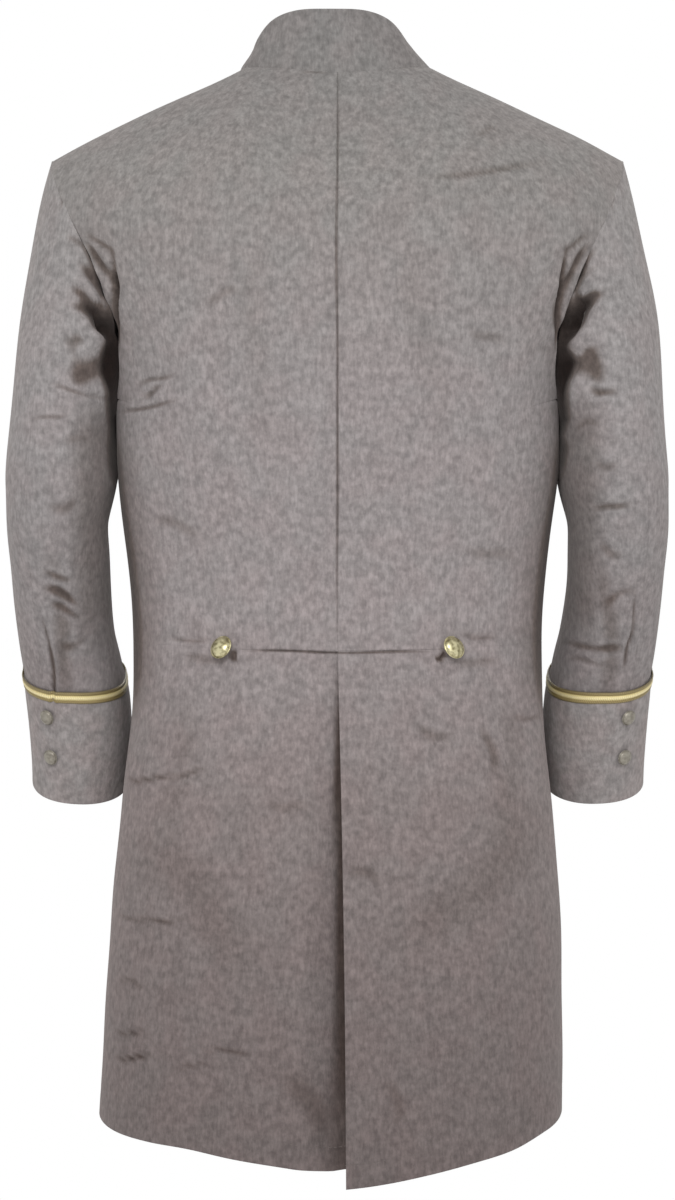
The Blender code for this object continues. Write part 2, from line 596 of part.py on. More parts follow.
def make_knots():
    """A looped braid that rises from the cuff's point, each crossing laid over the strand below."""
    peak_column = next(c / 50 for c in range(FORE_COLUMN * 50, COLUMNS * 50)
                       if arm_angle(c / 50) >= PEAK_ANGLE)
    degrees_a_column = arm_angle(peak_column + 0.5) - arm_angle(peak_column - 0.5)
    length = (SLEEVE[0].z - WRIST_Z) / (1 - CAP)

    def column_at(across):
        return peak_column + across / ARM_RADIUS * math.degrees(1) / degrees_a_column

    def above_cuff(across, up):
        """The ends of the knot run down beside the cuff's edge."""
        edge = (cuff_v(peak_column) - cuff_v(column_at(across))) * length * 1000
        return max(up, edge + KNOT_CLEAR)

    path = [(across, above_cuff(across, up), over) for across, up, over in knot_path(34)]
    for word, side in SIDES:
        mesh = bpy.data.meshes.new(f"sleeve_knot_{word}")
        strip = bmesh.new()
        sections = []
        for k, (across, up, over) in enumerate(path):
            if k > len(path) // 2 and abs(across) < 14 and 40 < up < 66:
                over = ease((14 - abs(across)) / 8)
            before, after = path[max(k - 1, 0)], path[min(k + 1, len(path) - 1)]
            run = Vector((after[0] - before[0], after[1] - before[1])).normalized()
            lift = 2 * SEAM + over * (BRAID_THICK + SEAM)
            corners = []
            for sidewards, height in ((-1, 0), (1, 0), (KNOT_RIM, 1), (-KNOT_RIM, 1)):
                a = across + run.y * sidewards * KNOT_WIDE * 500
                b = up - run.x * sidewards * KNOT_WIDE * 500
                v = cuff_v(peak_column) - b / 1000 / length
                point = sleeve_out(column_at(a), v, lift + height * BRAID_THICK)
                corners.append(strip.verts.new((side * point.x, point.y, point.z)))
            sections.append(corners)
        for one, other in zip(sections, sections[1:]):
            for k in range(4):
                strip.faces.new((one[k], one[(k + 1) % 4], other[(k + 1) % 4], other[k]))
        strip.faces.new(sections[0])
        strip.faces.new(sections[-1][::-1])
        bmesh.ops.recalc_face_normals(strip, faces=strip.faces)
        strip.to_mesh(mesh)
        strip.free()
        finish(f"sleeve_knot_{word}", mesh, GILT_LOOK)


def make_button(name, wide, place, face):
    """A domed button on its shank. The shank's end stands on the cloth at place, and face points outwards."""
    half = wide / 2
    dome, rim, shank, post = (share * wide for share in (DOME, RIM, SHANK, POST))
    base = shank + rim
    profile = [(half * math.sin(math.radians(a)), base + dome * math.cos(math.radians(a)))
               for a in (0, 35, 65, 90)]
    profile += [(half * 0.98, base - rim * 0.6), (half * 0.80, shank), (post, shank), (post * 0.9, SEAM),
                (0, SEAM)]
    mesh = bpy.data.meshes.new(name)
    mesh.from_pydata([(x, 0, z) for x, z in profile], [(k, k + 1) for k in range(len(profile) - 1)], [])
    piece = finish(name, mesh, GILT_LOOK)
    turned = piece.modifiers.new("Turned", "SCREW")
    turned.steps = turned.render_steps = BUTTON_SIDES
    turned.use_merge_vertices = True
    turned.merge_threshold = 0.00005
    piece.location = place
    piece.rotation_mode = "QUATERNION"
    piece.rotation_quaternion = Vector(face).to_track_quat("Z", "Y")


def make_buttons():
    """Two at the waist behind, two on each cuff's hind seam, and a row down the front."""
    for word, side in SIDES:
        turn = SIDE_BACK_SEAM[-1].turn
        place = body_point(turn, waist_z(turn))
        face = body_point(turn, WAIST_Z, 1) - body_point(turn, WAIST_Z)
        make_button(f"button_waist_{word}", BUTTON_WIDE, (side * place.x, place.y, place.z),
                    (side * face.x, face.y, face.z))
        for k, drop in enumerate(CUFF_BUTTON_DROPS, 1):
            v = cuff_v(HIND_COLUMN) + drop / (SLEEVE[0].z - WRIST_Z) * (1 - CAP)
            place = sleeve_out(HIND_COLUMN, v, CUFF_LIFT)
            face = sleeve_out(HIND_COLUMN, v, 1) - sleeve_out(HIND_COLUMN, v, 0)
            make_button(f"button_cuff_{word}_{k}", SMALL_BUTTON_WIDE, (side * place.x, place.y, place.z),
                        (side * face.x, face.y, face.z))
    for k, row in enumerate(FRONT_BUTTON_ROWS, 1):
        z = NECK_FRONT_Z + (WAIST_Z - NECK_FRONT_Z) * row / (ARM_BACK_ROWS + SEAM_ROWS)
        slope = body_point(180, z - 0.01, FRONT_LIFT) - body_point(180, z + 0.01, FRONT_LIFT)
        stand = SEAM + (CHEST_FLAT if z > CHEST_Z else 0)
        make_button(f"button_front_{k}", BUTTON_WIDE, body_point(180, z, FRONT_LIFT + stand),
                    (0, -slope.z, slope.y))


for old in list(bpy.data.objects):
    bpy.data.objects.remove(old)
COAT = bpy.data.collections.new("frock_coat")
bpy.context.scene.collection.children.link(COAT)
make_body()
make_skirts()
make_collar()
make_sleeves()
make_cuffs()
make_knots()
make_buttons()
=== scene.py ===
"""Looks of the frock coat: cloth, braid, buttons and stitches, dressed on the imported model.

The wearer faces +Y and +Z is up, in metres. Places on the body and skirts are (turn, z): turn is the angle
round the coat in degrees, 0 at the centre back, 90 at the wearer's right side and 180 at the centre front.
"""

import math
from collections import namedtuple

import bpy
import numpy as np
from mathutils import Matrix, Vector


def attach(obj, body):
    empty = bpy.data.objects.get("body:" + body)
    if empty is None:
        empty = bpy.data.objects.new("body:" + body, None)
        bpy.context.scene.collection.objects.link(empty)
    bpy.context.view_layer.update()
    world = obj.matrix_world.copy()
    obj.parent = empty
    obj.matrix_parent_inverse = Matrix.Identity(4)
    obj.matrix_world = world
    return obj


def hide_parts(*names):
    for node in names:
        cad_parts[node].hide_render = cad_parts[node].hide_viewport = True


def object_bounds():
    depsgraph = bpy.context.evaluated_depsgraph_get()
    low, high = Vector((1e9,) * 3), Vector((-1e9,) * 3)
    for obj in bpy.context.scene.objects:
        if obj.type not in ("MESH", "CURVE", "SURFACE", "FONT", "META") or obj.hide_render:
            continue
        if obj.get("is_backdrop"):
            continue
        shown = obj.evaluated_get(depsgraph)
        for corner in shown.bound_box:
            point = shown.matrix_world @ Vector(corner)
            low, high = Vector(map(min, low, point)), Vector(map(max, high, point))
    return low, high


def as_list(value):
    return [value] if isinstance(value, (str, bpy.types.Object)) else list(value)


bl_info = {
    "name": "Frock Coat",
    "version": (1, 0, 0),
    "blender": (4, 5, 0),
    "location": "View3D > Sidebar > Frock Coat",
    "description": "Makes a milled wool frock coat with braided cuffs, piece by piece",
    "category": "Add Mesh",
}

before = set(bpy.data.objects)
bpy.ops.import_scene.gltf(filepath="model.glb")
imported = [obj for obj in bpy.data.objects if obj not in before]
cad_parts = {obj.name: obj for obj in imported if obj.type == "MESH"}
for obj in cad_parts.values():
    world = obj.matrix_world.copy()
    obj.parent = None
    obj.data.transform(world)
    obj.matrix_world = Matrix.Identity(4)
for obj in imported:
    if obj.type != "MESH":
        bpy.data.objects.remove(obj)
CAD_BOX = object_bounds()

# ---------------------------------------------------------------- cut of the coat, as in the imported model

WALL, SEAM = 0.002, 0.0003
LAP = WALL + SEAM
FRONT_LIFT, CUFF_LIFT = LAP + 0.0010, LAP + 0.0004
SIDES = (("right", 1), ("left", -1))

Ring = namedtuple("Ring", "z half back front")
BODY = (
    Ring(0.020, 0.312, 0.100, 0.085),
    Ring(-0.080, 0.300, 0.122, 0.108),
    Ring(-0.140, 0.273, 0.136, 0.130),
    Ring(-0.200, 0.236, 0.142, 0.145),
    Ring(-0.250, 0.214, 0.142, 0.151),
    Ring(-0.300, 0.2045, 0.138, 0.152),
    Ring(-0.370, 0.2022, 0.128, 0.147),
    Ring(-0.450, 0.1915, 0.117, 0.139),
    Ring(-0.490, 0.1882, 0.114, 0.136),
    Ring(-0.530, 0.1870, 0.114, 0.135),
    Ring(-0.575, 0.1882, 0.121, 0.138),
    Ring(-0.667, 0.1970, 0.137, 0.146),
    Ring(-0.760, 0.2045, 0.149, 0.152),
    Ring(-0.850, 0.2088, 0.158, 0.158),
    Ring(-0.950, 0.2110, 0.165, 0.163),
    Ring(-1.010, 0.2115, 0.168, 0.165),
)
SQUARE, ROUND = 2.3, 0.13           # how square the body is, and the height over which its top rounds off
LEAST_FULL, MORE_FULL = 1.3, 0.7    # how full that rounding is at the middle, and how much more past the neck

NECK_HALF, NECK_BACK, NECK_FRONT, SHOULDER_TURN = 0.0865, 0.068, 0.085, 75
NECK_BACK_Z, NECK_SIDE_Z, NECK_FRONT_Z, NECK_CURVE = -0.0095, 0.003, -0.062, 1.15
SHOULDER_FALL, SHOULDER_TIP_X, TIP_Y = 0.46, 0.262, 0.004
ARMHOLE_DIP = 0.003     # how far the armhole sags under the arm, below a straight line

WAIST_Z, WAIST_RISE = -0.5285, 0.008
Hem = namedtuple("Hem", "turn left right")
HEM = (Hem(0, -0.9785, -0.9910), Hem(8, -0.9730, -0.9880), Hem(21, -0.9665, -0.9800),
       Hem(33, -0.9610, -0.9725), Hem(47, -0.9590, -0.9655), Hem(62, -0.9560, -0.9550),
       Hem(90, -0.9470, -0.9450), Hem(180, -0.9480, -0.9480))
HEM_SWAY, VENT_LAP, VENT_LEAN, FRONT_LAP = 0.0055, 0.028, 0.013, 0.020
# How the skirt's columns crowd towards the vent, how soon the vent's tuck is full, and the turn it ends at.
SKIRT_SPREAD, TUCK_GROWS, VENT_TURN = 1.15, 1.25, 60
FRONT_RAISED_TO, FRONT_RAISE_FADES = 0.045, 0.022    # the left front is raised up to here, fading over this
HEM_WAVE, HEM_WAVES, WAVE_START = 0.0035, 5, 20      # depth, waves in a full turn, and where the first starts
VENT_TUCK, VENT_TUCK_WIDE = 0.012, 0.034             # how far in the left skirt goes, and over what width
VENT_RAISE, VENT_RAISE_WIDE = 0.004, 0.050           # how far the right one stands out, and over what width

Spot = namedtuple("Spot", "turn z")
ARM_BACK = (Spot(59.5, -0.120), Spot(60, -0.160), Spot(62, -0.200), Spot(65.5, -0.245), Spot(70, -0.283),
            Spot(76, -0.303))
ARM_FRONT = (Spot(121.5, -0.120), Spot(123, -0.160), Spot(124, -0.200), Spot(120.5, -0.250),
             Spot(110, -0.292), Spot(96, -0.310))
SIDE_BACK_SEAM = (Spot(76, -0.303), Spot(60, -0.311), Spot(48, -0.322), Spot(40, -0.338),
                  Spot(35.5, -0.358), Spot(32.7, -0.385), Spot(30.5, -0.440), Spot(29.3, WAIST_Z))
UNDERARM_SEAM = (Spot(96, -0.310), Spot(94.5, -0.380), Spot(93.5, -0.450), Spot(93, WAIST_Z))
ARM_BACK_ROWS, UNDER_COLUMNS, ARM_FRONT_ROWS, SEAM_ROWS = 7, 4, 7, 9
COLUMNS = ARM_BACK_ROWS + UNDER_COLUMNS + ARM_FRONT_ROWS
ARM_SHARE = ARM_BACK_ROWS / (ARM_BACK_ROWS + SEAM_ROWS)

COLLAR_HALF, COLLAR_BACK, COLLAR_FRONT, COLLAR_OPEN_TURN = 0.071, 0.060, 0.068, 176
COLLAR_RISE, COLLAR_SWAY, COLLAR_SPREAD = 0.0012, 0.006, 0.0065
CollarEdge = namedtuple("CollarEdge", "turn z")
COLLAR_TOP = (CollarEdge(0, 0.0490), CollarEdge(28, 0.0485), CollarEdge(48, 0.0430), CollarEdge(68, 0.031),
              CollarEdge(90, 0.018), CollarEdge(130, -0.004), CollarEdge(180, -0.014))

Arm = namedtuple("Arm", "z x y half deep")
SLEEVE = (
    Arm(-0.335, 0.2530, -0.003, 0.0486, 0.083),
    Arm(-0.372, 0.2537, -0.005, 0.0503, 0.080),
    Arm(-0.410, 0.2577, -0.003, 0.0458, 0.075),
    Arm(-0.446, 0.2562, 0.004, 0.0443, 0.071),
    Arm(-0.483, 0.2543, 0.013, 0.0438, 0.068),
    Arm(-0.520, 0.2505, 0.023, 0.0439, 0.066),
    Arm(-0.557, 0.2437, 0.034, 0.0452, 0.063),
    Arm(-0.593, 0.2408, 0.045, 0.0450, 0.061),
    Arm(-0.630, 0.2406, 0.056, 0.0438, 0.060),
    Arm(-0.652, 0.2417, 0.063, 0.0430, 0.060),
    Arm(-0.680, 0.2428, 0.0715, 0.0426, 0.059),
)
WRIST_Z, SLEEVE_SQUARE, CAP = -0.652, 2.25, 0.42
ARM_DROP = SLEEVE[0].z - WRIST_Z
CAP_CLEAR, CAP_PULL = 0.0004, 0.36          # off the armhole, and how strongly the cap holds its direction
CAP_OUT, CAP_OUT_LEAST = 0.22, 0.08         # how far outwards the cap leaves the armhole for each 1 down
HIND_COLUMN, FORE_COLUMN, HIND_ANGLE, FORE_ANGLE = 2, 14, 66, 250
CUFF_HEIGHT, CUFF_SLANT = 0.095, 0.022          # its upper edge rises this much more outside than inside
CUFF_PEAK, PEAK_ANGLE, PEAK_SPREAD, PEAK_CURVE = 0.022, 310, 52, 0.9
FOREARM_SLANT = 1.04    # the forearm's length over its drop

BRAID_THICK, KNOT_WIDE = 0.0013, 0.0050
Loop = namedtuple("Loop", "across up over")
KNOT = (Loop(-52, -28, 0), Loop(-30, 8, 0), Loop(-10, 34, 0), Loop(6, 53, 0), Loop(24, 70, 0),
        Loop(37, 90, 0), Loop(32, 109, 0), Loop(15, 113, 0.5), Loop(-3, 104, 1), Loop(-17, 113, 0.3),
        Loop(-22, 134, 0), Loop(-15, 156, 0), Loop(0, 167, 0))
BUTTON_WIDE, SMALL_BUTTON_WIDE, CUFF_BUTTON_DROPS = 0.0215, 0.0145, (0.024, 0.064)
FRONT_BUTTON_ROWS = range(1, ARM_BACK_ROWS + SEAM_ROWS, 2)


# ---------------------------------------------------------------- curves and surfaces, on whole arrays

def along(rows, column, at):
    """The value of a table's column at each place between its rows, on a smooth curve through them."""
    table = sorted((row[0], getattr(row, column)) for row in rows)
    keys, values = np.array(table).T
    slopes = np.diff(values) / np.diff(keys)
    slopes = np.concatenate([slopes[:1], (slopes[:-1] + slopes[1:]) / 2, slopes[-1:]])
    at = np.clip(at, keys[0], keys[-1])
    k = np.clip(np.searchsorted(keys, at, side="right") - 1, 0, len(keys) - 2)
    span = keys[k + 1] - keys[k]
    t = (at - keys[k]) / span
    return (values[k] * (1 + 2 * t) * (1 - t) ** 2 + values[k + 1] * t * t * (3 - 2 * t)
            + span * (slopes[k] * t * (1 - t) ** 2 - slopes[k + 1] * t * t * (1 - t)))


def on_curve(points, t):
    """Points at shares t of a smooth curve through the given points.

    The result's first axis is the coordinate."""
    points = np.array(points, float)
    lengths = np.concatenate([[0], np.cumsum(np.linalg.norm(np.diff(points, axis=0), axis=1))])
    place = np.clip(t, 0, 1) * lengths[-1]
    k = np.clip(np.searchsorted(lengths, place) - 1, 0, len(points) - 2)
    w = (place - lengths[k]) / (lengths[k + 1] - lengths[k])
    a, b, c, d = (points[np.clip(k + step, 0, len(points) - 1)].T for step in (-1, 0, 1, 2))
    w = w.T
    return (0.5 * (2 * b + (c - a) * w + (2 * a - 5 * b + 4 * c - d) * w ** 2
                   + (3 * b - a - 3 * c + d) * w ** 3)).transpose(0, *range(len(b.shape) - 1, 0, -1))


DEGREE_MM = 3       # about what a degree of turn is on the cloth


def seam_spot(spots, t):
    """Places (turn, z) at shares t of a seam. Degrees are weighed as millimetres on the cloth."""
    turn, z = on_curve([(spot.turn * DEGREE_MM, spot.z * 1000) for spot in spots], t)
    return turn / DEGREE_MM, z / 1000


def ease(t):
    t = np.clip(t, 0, 1)
    return t * t * (3 - 2 * t)


def power(base, exponent):
    """A power that keeps the sign."""
    return np.sign(base) * np.abs(base) ** exponent


def joined(*parts):
    return np.stack(np.broadcast_arrays(*parts), axis=-1)


def unit(vectors):
    return vectors / np.maximum(np.linalg.norm(vectors, axis=-1, keepdims=True), 1e-12)


def neck_point(turn):
    """The neckline, where the collar is sewn on."""
    turn = np.asarray(turn, float)
    angle = np.radians(turn)
    share = np.sin(angle) / math.sin(math.radians(SHOULDER_TURN))
    behind = joined(NECK_HALF * np.sin(angle), -NECK_BACK * np.cos(angle),
                    NECK_BACK_Z + (NECK_SIDE_Z - NECK_BACK_Z) * share ** 2)
    side_x = NECK_HALF * math.sin(math.radians(SHOULDER_TURN))
    side_y = -NECK_BACK * math.cos(math.radians(SHOULDER_TURN))
    share = np.clip((turn - SHOULDER_TURN) / (180 - SHOULDER_TURN), 0, None)
    quarter = share * math.pi / 2
    before = joined(side_x * np.cos(quarter), side_y + (NECK_FRONT - side_y) * np.sin(quarter),
                    NECK_SIDE_Z + (NECK_FRONT_Z - NECK_SIDE_Z) * share ** NECK_CURVE)
    return np.where((turn <= SHOULDER_TURN)[..., None], behind, before)


NECK_SIDE = neck_point(SHOULDER_TURN)


def top_edge(x, behind):
    """(y, z) of the neckline or shoulder seam at distances x from the middle."""
    share = (x - NECK_SIDE[0]) / (SHOULDER_TIP_X - NECK_SIDE[0])
    shoulder_y = NECK_SIDE[1] + (TIP_Y - NECK_SIDE[1]) * share
    shoulder_z = NECK_SIDE_Z - SHOULDER_FALL * (x - NECK_SIDE[0])
    near = np.clip(x, 0, NECK_SIDE[0])
    back_turn = np.degrees(np.arcsin(near / NECK_HALF))
    front_turn = SHOULDER_TURN + (180 - SHOULDER_TURN) * np.arccos(near / NECK_SIDE[0]) / (math.pi / 2)
    neck = neck_point(np.where(behind, back_turn, front_turn))
    outside = x >= NECK_SIDE[0]
    return np.where(outside, shoulder_y, neck[..., 1]), np.where(outside, shoulder_z, neck[..., 2])


def body_point(turn, z, out=0.0):
    """Points of the body or skirt, moved outwards by out."""
    turn, z = np.broadcast_arrays(np.asarray(turn, float), np.asarray(z, float))
    sine, cosine = np.sin(np.radians(turn)), np.cos(np.radians(turn))
    half = along(BODY, "half", z)
    x = half * power(sine, 2 / SQUARE)
    depth = np.where(cosine > 0, along(BODY, "back", z), along(BODY, "front", z))
    y = -depth * power(cosine, 2 / SQUARE)
    top_y, top_z = top_edge(np.minimum(np.abs(x), SHOULDER_TIP_X), cosine > 0)
    share = np.clip((top_z - z) / ROUND, 0, 1)
    fullness = LEAST_FULL + MORE_FULL * np.minimum(1, (x / NECK_HALF) ** 2)
    rise = (1 - (1 - share) ** fullness) ** (1 / fullness)
    y = top_y + (y - top_y) * rise
    flat = unit(joined(x / half ** 2, y / depth ** 2, 0))
    return joined(x, y, z) + flat * np.asarray(out)[..., None]


def turn_of(x, z):
    """The turn at which the body is x from the middle, behind."""
    return np.degrees(np.arcsin(np.clip(power(x / along(BODY, "half", z), SQUARE / 2), -1, 1)))


TIP_Z = float(top_edge(np.array(SHOULDER_TIP_X), True)[1])


def waist_z(turn):
    return WAIST_Z + WAIST_RISE * np.sin(np.radians(turn)) ** 2


def hem_z(turn, side):
    return along(HEM, "right" if side > 0 else "left", np.abs(turn))


def arm_back(t):
    return seam_spot((Spot(float(turn_of(SHOULDER_TIP_X, TIP_Z)), TIP_Z),) + ARM_BACK, t)


def arm_front(t):
    return seam_spot((Spot(180 - float(turn_of(SHOULDER_TIP_X, TIP_Z)), TIP_Z),) + ARM_FRONT, t)


def arm_under(t):
    first, last = ARM_BACK[-1], ARM_FRONT[-1]
    return (first.turn + (last.turn - first.turn) * t,
            first.z + (last.z - first.z) * t - ARMHOLE_DIP * np.sin(math.pi * t))


def back_top(u):
    """Neckline, then shoulder seam, from the centre back to the shoulder tip."""
    neck_share = 0.36
    edge = neck_point(SHOULDER_TURN * np.clip(u / neck_share, 0, 1))
    x = NECK_SIDE[0] + (SHOULDER_TIP_X - NECK_SIDE[0]) * (u - neck_share) / (1 - neck_share)
    x = np.where(u <= neck_share, edge[..., 0], x)
    z = np.where(u <= neck_share, edge[..., 2], top_edge(x, True)[1])
    return turn_of(x, z), z


def front_top(u):
    """Shoulder seam from the tip, then the neckline, to the edge past the centre front."""
    shoulder_share, neck_end = 0.52, 0.8
    share = np.clip((u - shoulder_share) / (1 - shoulder_share), 0, 1)
    x = SHOULDER_TIP_X + (NECK_SIDE[0] - SHOULDER_TIP_X) * u / shoulder_share
    edge = neck_point(SHOULDER_TURN + (180 - SHOULDER_TURN) * np.clip(share / neck_end, 0, 1))
    x = np.where(u <= shoulder_share, x, edge[..., 0])
    z = np.where(u <= shoulder_share, top_edge(x, False)[1], edge[..., 2])
    past = share > neck_end
    lap = turn_of(FRONT_LAP * (share - neck_end) / (1 - neck_end), NECK_FRONT_Z)
    return np.where(past, 180 + lap, 180 - turn_of(x, z)), np.where(past, NECK_FRONT_Z, z)


def between(left, right, top, bottom, u, v):
    """Places inside four edges that meet at the corners, each edge a function of its share."""
    zero, one = np.array(0.0), np.array(1.0)
    corners = [((1 - u) * (1 - v), top(zero)), (u * (1 - v), top(one)),
               ((1 - u) * v, bottom(zero)), (u * v, bottom(one))]
    edges = zip(left(v), right(v), top(u), bottom(u))
    return [(1 - u) * a + u * b + (1 - v) * c + v * d - sum(weight * corner[i] for weight, corner in corners)
            for i, (a, b, c, d) in enumerate(edges)]


def split(first, second):
    """One edge made of two: the armhole, then a seam."""
    def edge(v):
        one = first(np.clip(v / ARM_SHARE, 0, 1))
        other = second(np.clip((v - ARM_SHARE) / (1 - ARM_SHARE), 0, 1))
        return [np.where(v <= ARM_SHARE, a, b) for a, b in zip(one, other)]
    return edge


def back_spot(u, v):
    return between(lambda v: (0 * v, NECK_BACK_Z + (WAIST_Z - NECK_BACK_Z) * v),
                   split(arm_back, lambda t: seam_spot(SIDE_BACK_SEAM, t)), back_top,
                   lambda u: (SIDE_BACK_SEAM[-1].turn * u, WAIST_Z + 0 * u), u, v)


def side_back_spot(u, v):
    start, end = SIDE_BACK_SEAM[-1].turn, UNDERARM_SEAM[-1].turn
    return between(lambda v: seam_spot(SIDE_BACK_SEAM, v), lambda v: seam_spot(UNDERARM_SEAM, v), arm_under,
                   lambda u: (start + (end - start) * u, WAIST_Z + 0 * u), u, v)


def front_spot(u, v):
    def centre(v):
        z = NECK_FRONT_Z + (WAIST_Z - NECK_FRONT_Z) * v
        return 180 + turn_of(FRONT_LAP, z), z

    start, end = UNDERARM_SEAM[-1].turn, 180 + float(turn_of(FRONT_LAP, WAIST_Z))
    return between(split(arm_front, lambda t: seam_spot(UNDERARM_SEAM, t)), centre, front_top,
                   lambda u: (start + (end - start) * u, WAIST_Z + 0 * u), u, v)


def front_lift(side, x):
    """The left front lies over the right one at the centre front."""
    return FRONT_LIFT * ease((FRONT_RAISED_TO - x) / FRONT_RAISE_FADES) if side < 0 else 0 * x


def panel_surface(spot, side):
    """Points of a body piece at shares u across and v down."""
    def surface(u, v):
        turn, z = spot(u, v)
        z = z + (waist_z(turn) - WAIST_Z) * ease(v)
        x = body_point(turn, z)[..., 0]
        lift = np.where(turn > 90, front_lift(side, x), 0)
        return body_point(turn, z, lift) * (side, 1, 1)
    return surface


def skirt_surface(side):
    def surface(u, v):
        centre_z = WAIST_Z + (hem_z(0, side) - WAIST_Z) * v
        start = turn_of(VENT_LEAN * v if side > 0 else -VENT_LAP, centre_z)
        turn = start + (180 + turn_of(FRONT_LAP, centre_z) - start) * np.maximum(u, 0) ** SKIRT_SPREAD
        top, hem = waist_z(turn), hem_z(turn, side)
        z = top - SEAM + (hem - top) * v
        wave = (HEM_WAVE * v * v * np.cos(np.radians(turn * HEM_WAVES + WAVE_START))
                * np.sin(np.radians(np.minimum(turn, 180))) ** 2)
        x = body_point(turn, z)[..., 0]
        lift = np.where(turn > 90, front_lift(side, x), 0)
        if side < 0:
            fold = VENT_TUCK * np.sin(math.pi * np.minimum(v * TUCK_GROWS, 1) / 2)
            vent = -(LAP + fold) * ease((VENT_TUCK_WIDE - x) / VENT_TUCK_WIDE)
        else:
            vent = VENT_RAISE * v * ease((VENT_RAISE_WIDE - x) / VENT_RAISE_WIDE)
        point = body_point(turn, z, wave + lift + np.where(turn < VENT_TURN, vent, 0)) * (side, 1, 1)
        point[..., 0] -= HEM_SWAY * v * v
        return point
    return surface


def collar_surface(u, v):
    signed = COLLAR_OPEN_TURN * (2 * u - 1)
    turn = np.abs(signed)
    angle = np.radians(turn)
    low = neck_point(turn)
    low[..., 2] += COLLAR_RISE * (1 + turn / 240)
    depth = np.where(turn < 90, COLLAR_BACK, COLLAR_FRONT)
    high = joined(COLLAR_HALF * np.sin(angle), -depth * np.cos(angle), along(COLLAR_TOP, "z", turn))
    spread = np.where(signed < 0, COLLAR_SPREAD, 0.0) * np.sin(angle) ** 6 * ease((v - 0.25) / 0.75) ** 1.5
    point = (high + (low - high) * v[..., None]) * joined(np.where(signed < 0, -1, 1), 1, 1)
    point += joined(-spread, 0 * v, -SHOULDER_FALL * spread)
    point[..., 0] -= COLLAR_SWAY * (1 - v)
    return point


def loop_point(column):
    """The armhole, from the shoulder tip down behind, under the arm and up in front."""
    low = ARM_BACK_ROWS + UNDER_COLUMNS
    behind = arm_back(np.clip(column / ARM_BACK_ROWS, 0, 1))
    under = arm_under(np.clip((column - ARM_BACK_ROWS) / UNDER_COLUMNS, 0, 1))
    before = arm_front(np.clip(1 - (column - low) / ARM_FRONT_ROWS, 0, 1))
    turn, z = (np.where(column <= ARM_BACK_ROWS, a, np.where(column <= low, b, c))
               for a, b, c in zip(behind, under, before))
    return body_point(turn, z)


def arm_angle(column):
    """The angle round the arm of a column: 0 outside, 90 behind, 180 against the body."""
    column = np.mod(column, COLUMNS)
    start = FORE_ANGLE - 360
    over = HIND_COLUMN + COLUMNS - FORE_COLUMN
    first = start + (HIND_ANGLE - start) * (column + COLUMNS - FORE_COLUMN) / over
    under = HIND_ANGLE + (FORE_ANGLE - HIND_ANGLE) * (column - HIND_COLUMN) / (FORE_COLUMN - HIND_COLUMN)
    last = FORE_ANGLE + (HIND_ANGLE + 360 - FORE_ANGLE) * (column - FORE_COLUMN) / over
    return np.where(column <= HIND_COLUMN, first, np.where(column <= FORE_COLUMN, under, last))


def arm_middle(z):
    return joined(along(SLEEVE, "x", z), along(SLEEVE, "y", z), z)


def arm_ring(angle, z):
    """Points of the sleeve below the armhole. The ring at height z is square to the run of the arm."""
    middle = arm_middle(z)
    run = unit(middle - arm_middle(z + 0.01))
    across = unit(np.array((1.0, 0, 0)) - run * run[..., :1])
    behind = np.cross(run, across)
    behind = np.where(behind[..., 1:2] > 0, -behind, behind)
    turned = np.radians(angle)
    round_it = 2 / SLEEVE_SQUARE
    return (middle + across * (along(SLEEVE, "half", z) * power(np.cos(turned), round_it))[..., None]
            + behind * (along(SLEEVE, "deep", z) * power(np.sin(turned), round_it))[..., None])


def sleeve_point(column, v):
    """Points of the right sleeve: columns run round the arm, v runs down from the armhole to the wrist."""
    column, v = np.broadcast_arrays(np.mod(column, COLUMNS), np.asarray(v, float))
    angle = arm_angle(column)
    ring = arm_ring(angle, SLEEVE[0].z + (WRIST_Z - SLEEVE[0].z) * np.maximum((v - CAP) / (1 - CAP), 0))
    top = loop_point(column)
    high = 0.5 + 0.5 * np.cos(np.radians(angle))
    top[..., 0] += CAP_CLEAR * high ** 2 - CAP_CLEAR
    low = arm_ring(angle, SLEEVE[0].z + 0 * v)
    reach = np.linalg.norm(low - top, axis=-1, keepdims=True)
    leave = unit(joined(CAP_OUT * high + CAP_OUT_LEAST, 0, -1 + 0 * high))
    arrive = unit(arm_ring(angle, SLEEVE[0].z - 0.01 + 0 * v) - low)
    one, other = top + leave * reach * CAP_PULL, low - arrive * reach * CAP_PULL
    t = np.clip(v / CAP, 0, 1)[..., None]
    cap = top * (1 - t) ** 3 + one * 3 * t * (1 - t) ** 2 + other * 3 * t * t * (1 - t) + low * t ** 3
    return np.where((v < CAP)[..., None], cap, ring)


def cuff_v(column):
    """The share of the sleeve at which the cuff's upper edge runs. It rises to a point outside."""
    angle = arm_angle(column)
    away = np.abs(np.mod(angle - PEAK_ANGLE + 180, 360) - 180)
    rise = (CUFF_HEIGHT + CUFF_SLANT * (0.5 + 0.5 * np.cos(np.radians(angle)))
            + CUFF_PEAK * np.maximum(0, 1 - away / PEAK_SPREAD) ** PEAK_CURVE)
    return 1 - (1 - CAP) * rise / (ARM_DROP * FOREARM_SLANT)


def sleeve_frame(column, v, side):
    """Points of a sleeve and its outward directions."""
    step = 0.004
    down = sleeve_point(column, v + step) - sleeve_point(column, v - step)
    right = sleeve_point(column + step, v) - sleeve_point(column - step, v)
    outward = unit(np.cross(right, down))
    return sleeve_point(column, v) * (side, 1, 1), outward * (side, 1, 1)


# ---------------------------------------------------------------- creases and the cloth's own unevenness

# A soft trough or ridge (deep below 0) across the cloth, from one end to the other, in mm across and up.
# Across is above 0 on the wearer's right. The face is the way that the cloth looks there.
Crease = namedtuple("Crease", "face x1 z1 x2 z2 wide deep")


